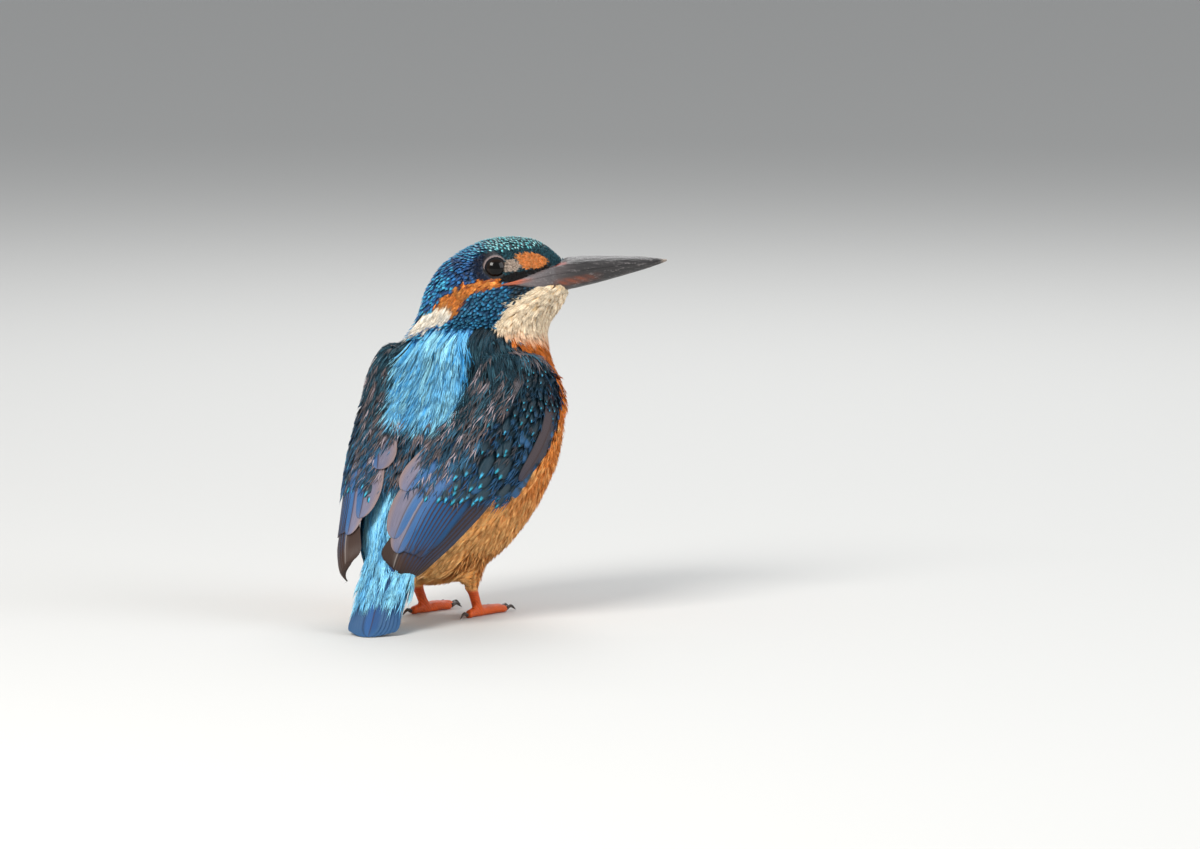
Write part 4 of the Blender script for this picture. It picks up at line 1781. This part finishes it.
for side, sign in SIDES.items():
    eye = EYES[side]
    ahead, left, height = (float(c) for c in head_coords(eye))
    around = np.linspace(0, 2 * np.pi, 8, endpoint=False)
    face = head_half_width(ahead + 4.3 * np.cos(around), height + 4.3 * np.sin(around))
    surface = float(face.mean())
    hub = head_point(ahead, sign * (surface + EYE_PROUD - EYE_RADIUS), height)
    turn = Vector(HEAD_LEFT * sign + HEAD_WAY * EYE_AHEAD).to_track_quat("Z", "Y").to_euler()
    bpy.ops.object.select_all(action="DESELECT")
    bpy.ops.mesh.primitive_uv_sphere_add(
        segments=64, ring_count=40, radius=EYE_RADIUS * MM, location=to_world(hub), rotation=turn
    )
    ball = bpy.context.object
    off_axis = np.degrees(np.arccos(np.clip(vertex_array(ball)[:, 2] / (EYE_RADIUS * MM), -1, 1)))
    iris = mix(PUPIL, IRIS, ease(off_axis, 30, 36))
    paint_points(ball, mix(iris, INK, ease(off_axis, 44, 62)))
    settle(ball, f"eyeball_{side}", eye_paint)
    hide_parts(f"eye_{side}")

    bpy.ops.object.select_all(action="DESELECT")
    bpy.ops.mesh.primitive_torus_add(
        major_radius=4 * MM, minor_radius=MM, major_segments=72, minor_segments=len(LID_EDGE),
        location=to_world(hub), rotation=turn,
    )
    lid = bpy.context.object
    x, y, z = vertex_array(lid).T
    around, tube = np.arctan2(y, x), np.arctan2(z, np.hypot(x, y) - 4 * MM)
    step = np.round((np.pi - tube) / (2 * np.pi) * len(LID_EDGE)).astype(int) % len(LID_EDGE)
    ripple = 1 + 0.012 * np.sin(around * 23) + 0.010 * np.sin(around * 37 + 1)
    radius, rise = LID_EDGE[step, 0] * ripple * MM, LID_EDGE[step, 1] * MM
    set_vertices(lid, np.column_stack([radius * np.cos(around), radius * np.sin(around), rise]))
    paint_points(lid, mix(LID_GREY, LID_BLACK, ease(LID_EDGE[step, 0], 3.15, 3.5)))
    settle(lid, f"eyelid_{side}", lid_paint)
    print(side, "eye stands", EYE_PROUD, "mm out of a head", round(2 * surface, 1), "mm wide there")

# %% [markdown]
# ## Horn of the bill and the claws
#
# Horn is dark, finely streaked along its length and scuffed paler by work, with a warm patch at
# the root of the lower sheath and a worn light tip. A noise stretched along the bill gives the
# streaks, and each point carries its own colour. The claws are shorter and darker, so the packed
# ones are remeshed and smoothed to round their edges, and get a plain grain.

# %% Horn of the bill
HORN_BLACK, HORN_GREY, HORN_TIP = [0.026, 0.024, 0.025], [0.145, 0.120, 0.122], [0.42, 0.34, 0.28]
HORN_WARM, GAPE_PINK, NOSTRIL_RED = [0.33, 0.075, 0.026], [0.50, 0.12, 0.055], [0.20, 0.03, 0.02]

bill_paint, bill_shader = new_material("bill_horn", roughness=0.4, specular=0.5)
calc = calculator(bill_paint)
where = add_node(bill_paint, "ShaderNodeTexCoord")
lengthwise = add_node(bill_paint, "ShaderNodeMapping")
lengthwise.inputs["Rotation"].default_value = (0, 0, -HEAD_TURN)
stretch = add_node(bill_paint, "ShaderNodeMapping")
stretch.inputs["Scale"].default_value = (90.0, 1500.0, 1500.0)
streaks = add_node(bill_paint, "ShaderNodeTexNoise", Scale=1.0, Detail=5.0, Roughness=0.6)
join_nodes(bill_paint, (where.outputs["Object"], lengthwise.inputs["Vector"]),
           (lengthwise.outputs[0], stretch.inputs["Vector"]),
           (stretch.outputs[0], streaks.inputs["Vector"]))
streaks, specks = streaks.outputs["Fac"], object_noise(bill_paint, 1800.0, 4.0)
ground_colour = add_node(bill_paint, "ShaderNodeAttribute", attribute_name="ground")
scuffs = calc("MULTIPLY", calc("SUBTRACT", streaks, 0.50), 4.5, clamp=True)
bits = calc("MULTIPLY", calc("SUBTRACT", specks, 0.42), 3.0, clamp=True)
share = calc("MULTIPLY", calc("MULTIPLY", scuffs, bits), ground_colour.outputs["Alpha"])
worn = add_node(bill_paint, "ShaderNodeMix", data_type="RGBA")
worn.inputs[7].default_value = (0.36, 0.33, 0.325, 1)
join_nodes(bill_paint, (share, worn.inputs[0]), (ground_colour.outputs["Color"], worn.inputs[6]),
           (worn.outputs[2], bill_shader.inputs["Base Color"]),
           (calc("MULTIPLY_ADD", streaks, 0.5, 0.14), bill_shader.inputs["Roughness"]))
groove(bill_paint, bill_shader, calc("MULTIPLY_ADD", specks, 0.25, streaks), 0.8, 0.0003)
print("finish:", bill_paint.name)

# %% Colours along the bill
for piece in (bill_upper, bill_lower):
    ahead, left, height = head_coords(to_bird(vertex_array(piece)))
    colour = mix(HORN_BLACK, HORN_GREY, ease(ahead, 23, 8))
    if piece is bill_lower:
        lean = height - 0.16 * (ahead - 16)
        warm = ease(ahead, 13.5, 18) * ease(ahead, 29, 21)
        warm = warm * ease(lean, 84.0, 85.1) * ease(lean, 87.0, 85.6)
        warm *= 0.65 + 0.35 * np.sin(ahead * 1.7 + height * 4)
        colour = mix(colour, HORN_WARM, warm * 0.8)
    off_mouth = np.abs(height - np.interp(ahead, BILL_AHEAD, MOUTH_LINE))
    colour = mix(colour, GAPE_PINK, ease(ahead, 11, 5) * (1 - ease(off_mouth, 0.3, 0.8)))
    if piece is bill_upper:
        off_nostril = np.abs(height - (90.05 + 0.17 * (ahead - 14.8)))
        nostril = ease(ahead, 14.2, 15.2) * ease(ahead, 19.0, 17.8)
        colour = mix(colour, NOSTRIL_RED, nostril * (1 - ease(off_nostril, 0.12, 0.4)))
    paint_points(piece, mix(colour, HORN_TIP, ease(ahead, 42.6, 44.3) * 0.8))
    piece.data.materials.append(bill_paint)
print("bill finish on", bill_upper.name, "and", bill_lower.name)

# %% Claws
claw_paint, claw_shader = new_material("claw_horn", roughness=0.3, specular=0.5)
grain = object_noise(claw_paint, 1600.0, 4.0)
tone = add_node(claw_paint, "ShaderNodeMix", data_type="RGBA")
tone.inputs[6].default_value = (0.010, 0.007, 0.006, 1)
tone.inputs[7].default_value = (0.075, 0.045, 0.032, 1)
join_nodes(claw_paint, (grain, tone.inputs[0]), (tone.outputs[2], claw_shader.inputs["Base Color"]))
groove(claw_paint, claw_shader, grain, 0.3, 0.0001)
CLAWS = [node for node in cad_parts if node.startswith("claw")]
for node in CLAWS:
    claw = welded_copy(node)
    apply_modifier(claw, "REMESH", mode="VOXEL", voxel_size=0.1 * MM)
    apply_modifier(claw, "SMOOTH", factor=0.5, iterations=7)
    claw.name = node + "_horn"
    select_only(claw)
    bpy.ops.object.shade_smooth()
    claw.data.materials.append(claw_paint)
    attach(claw, "root")
    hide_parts(node)
print("claws:", len(CLAWS))

# %% Sizes and finish
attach(skin, "root")
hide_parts(*FLESH)
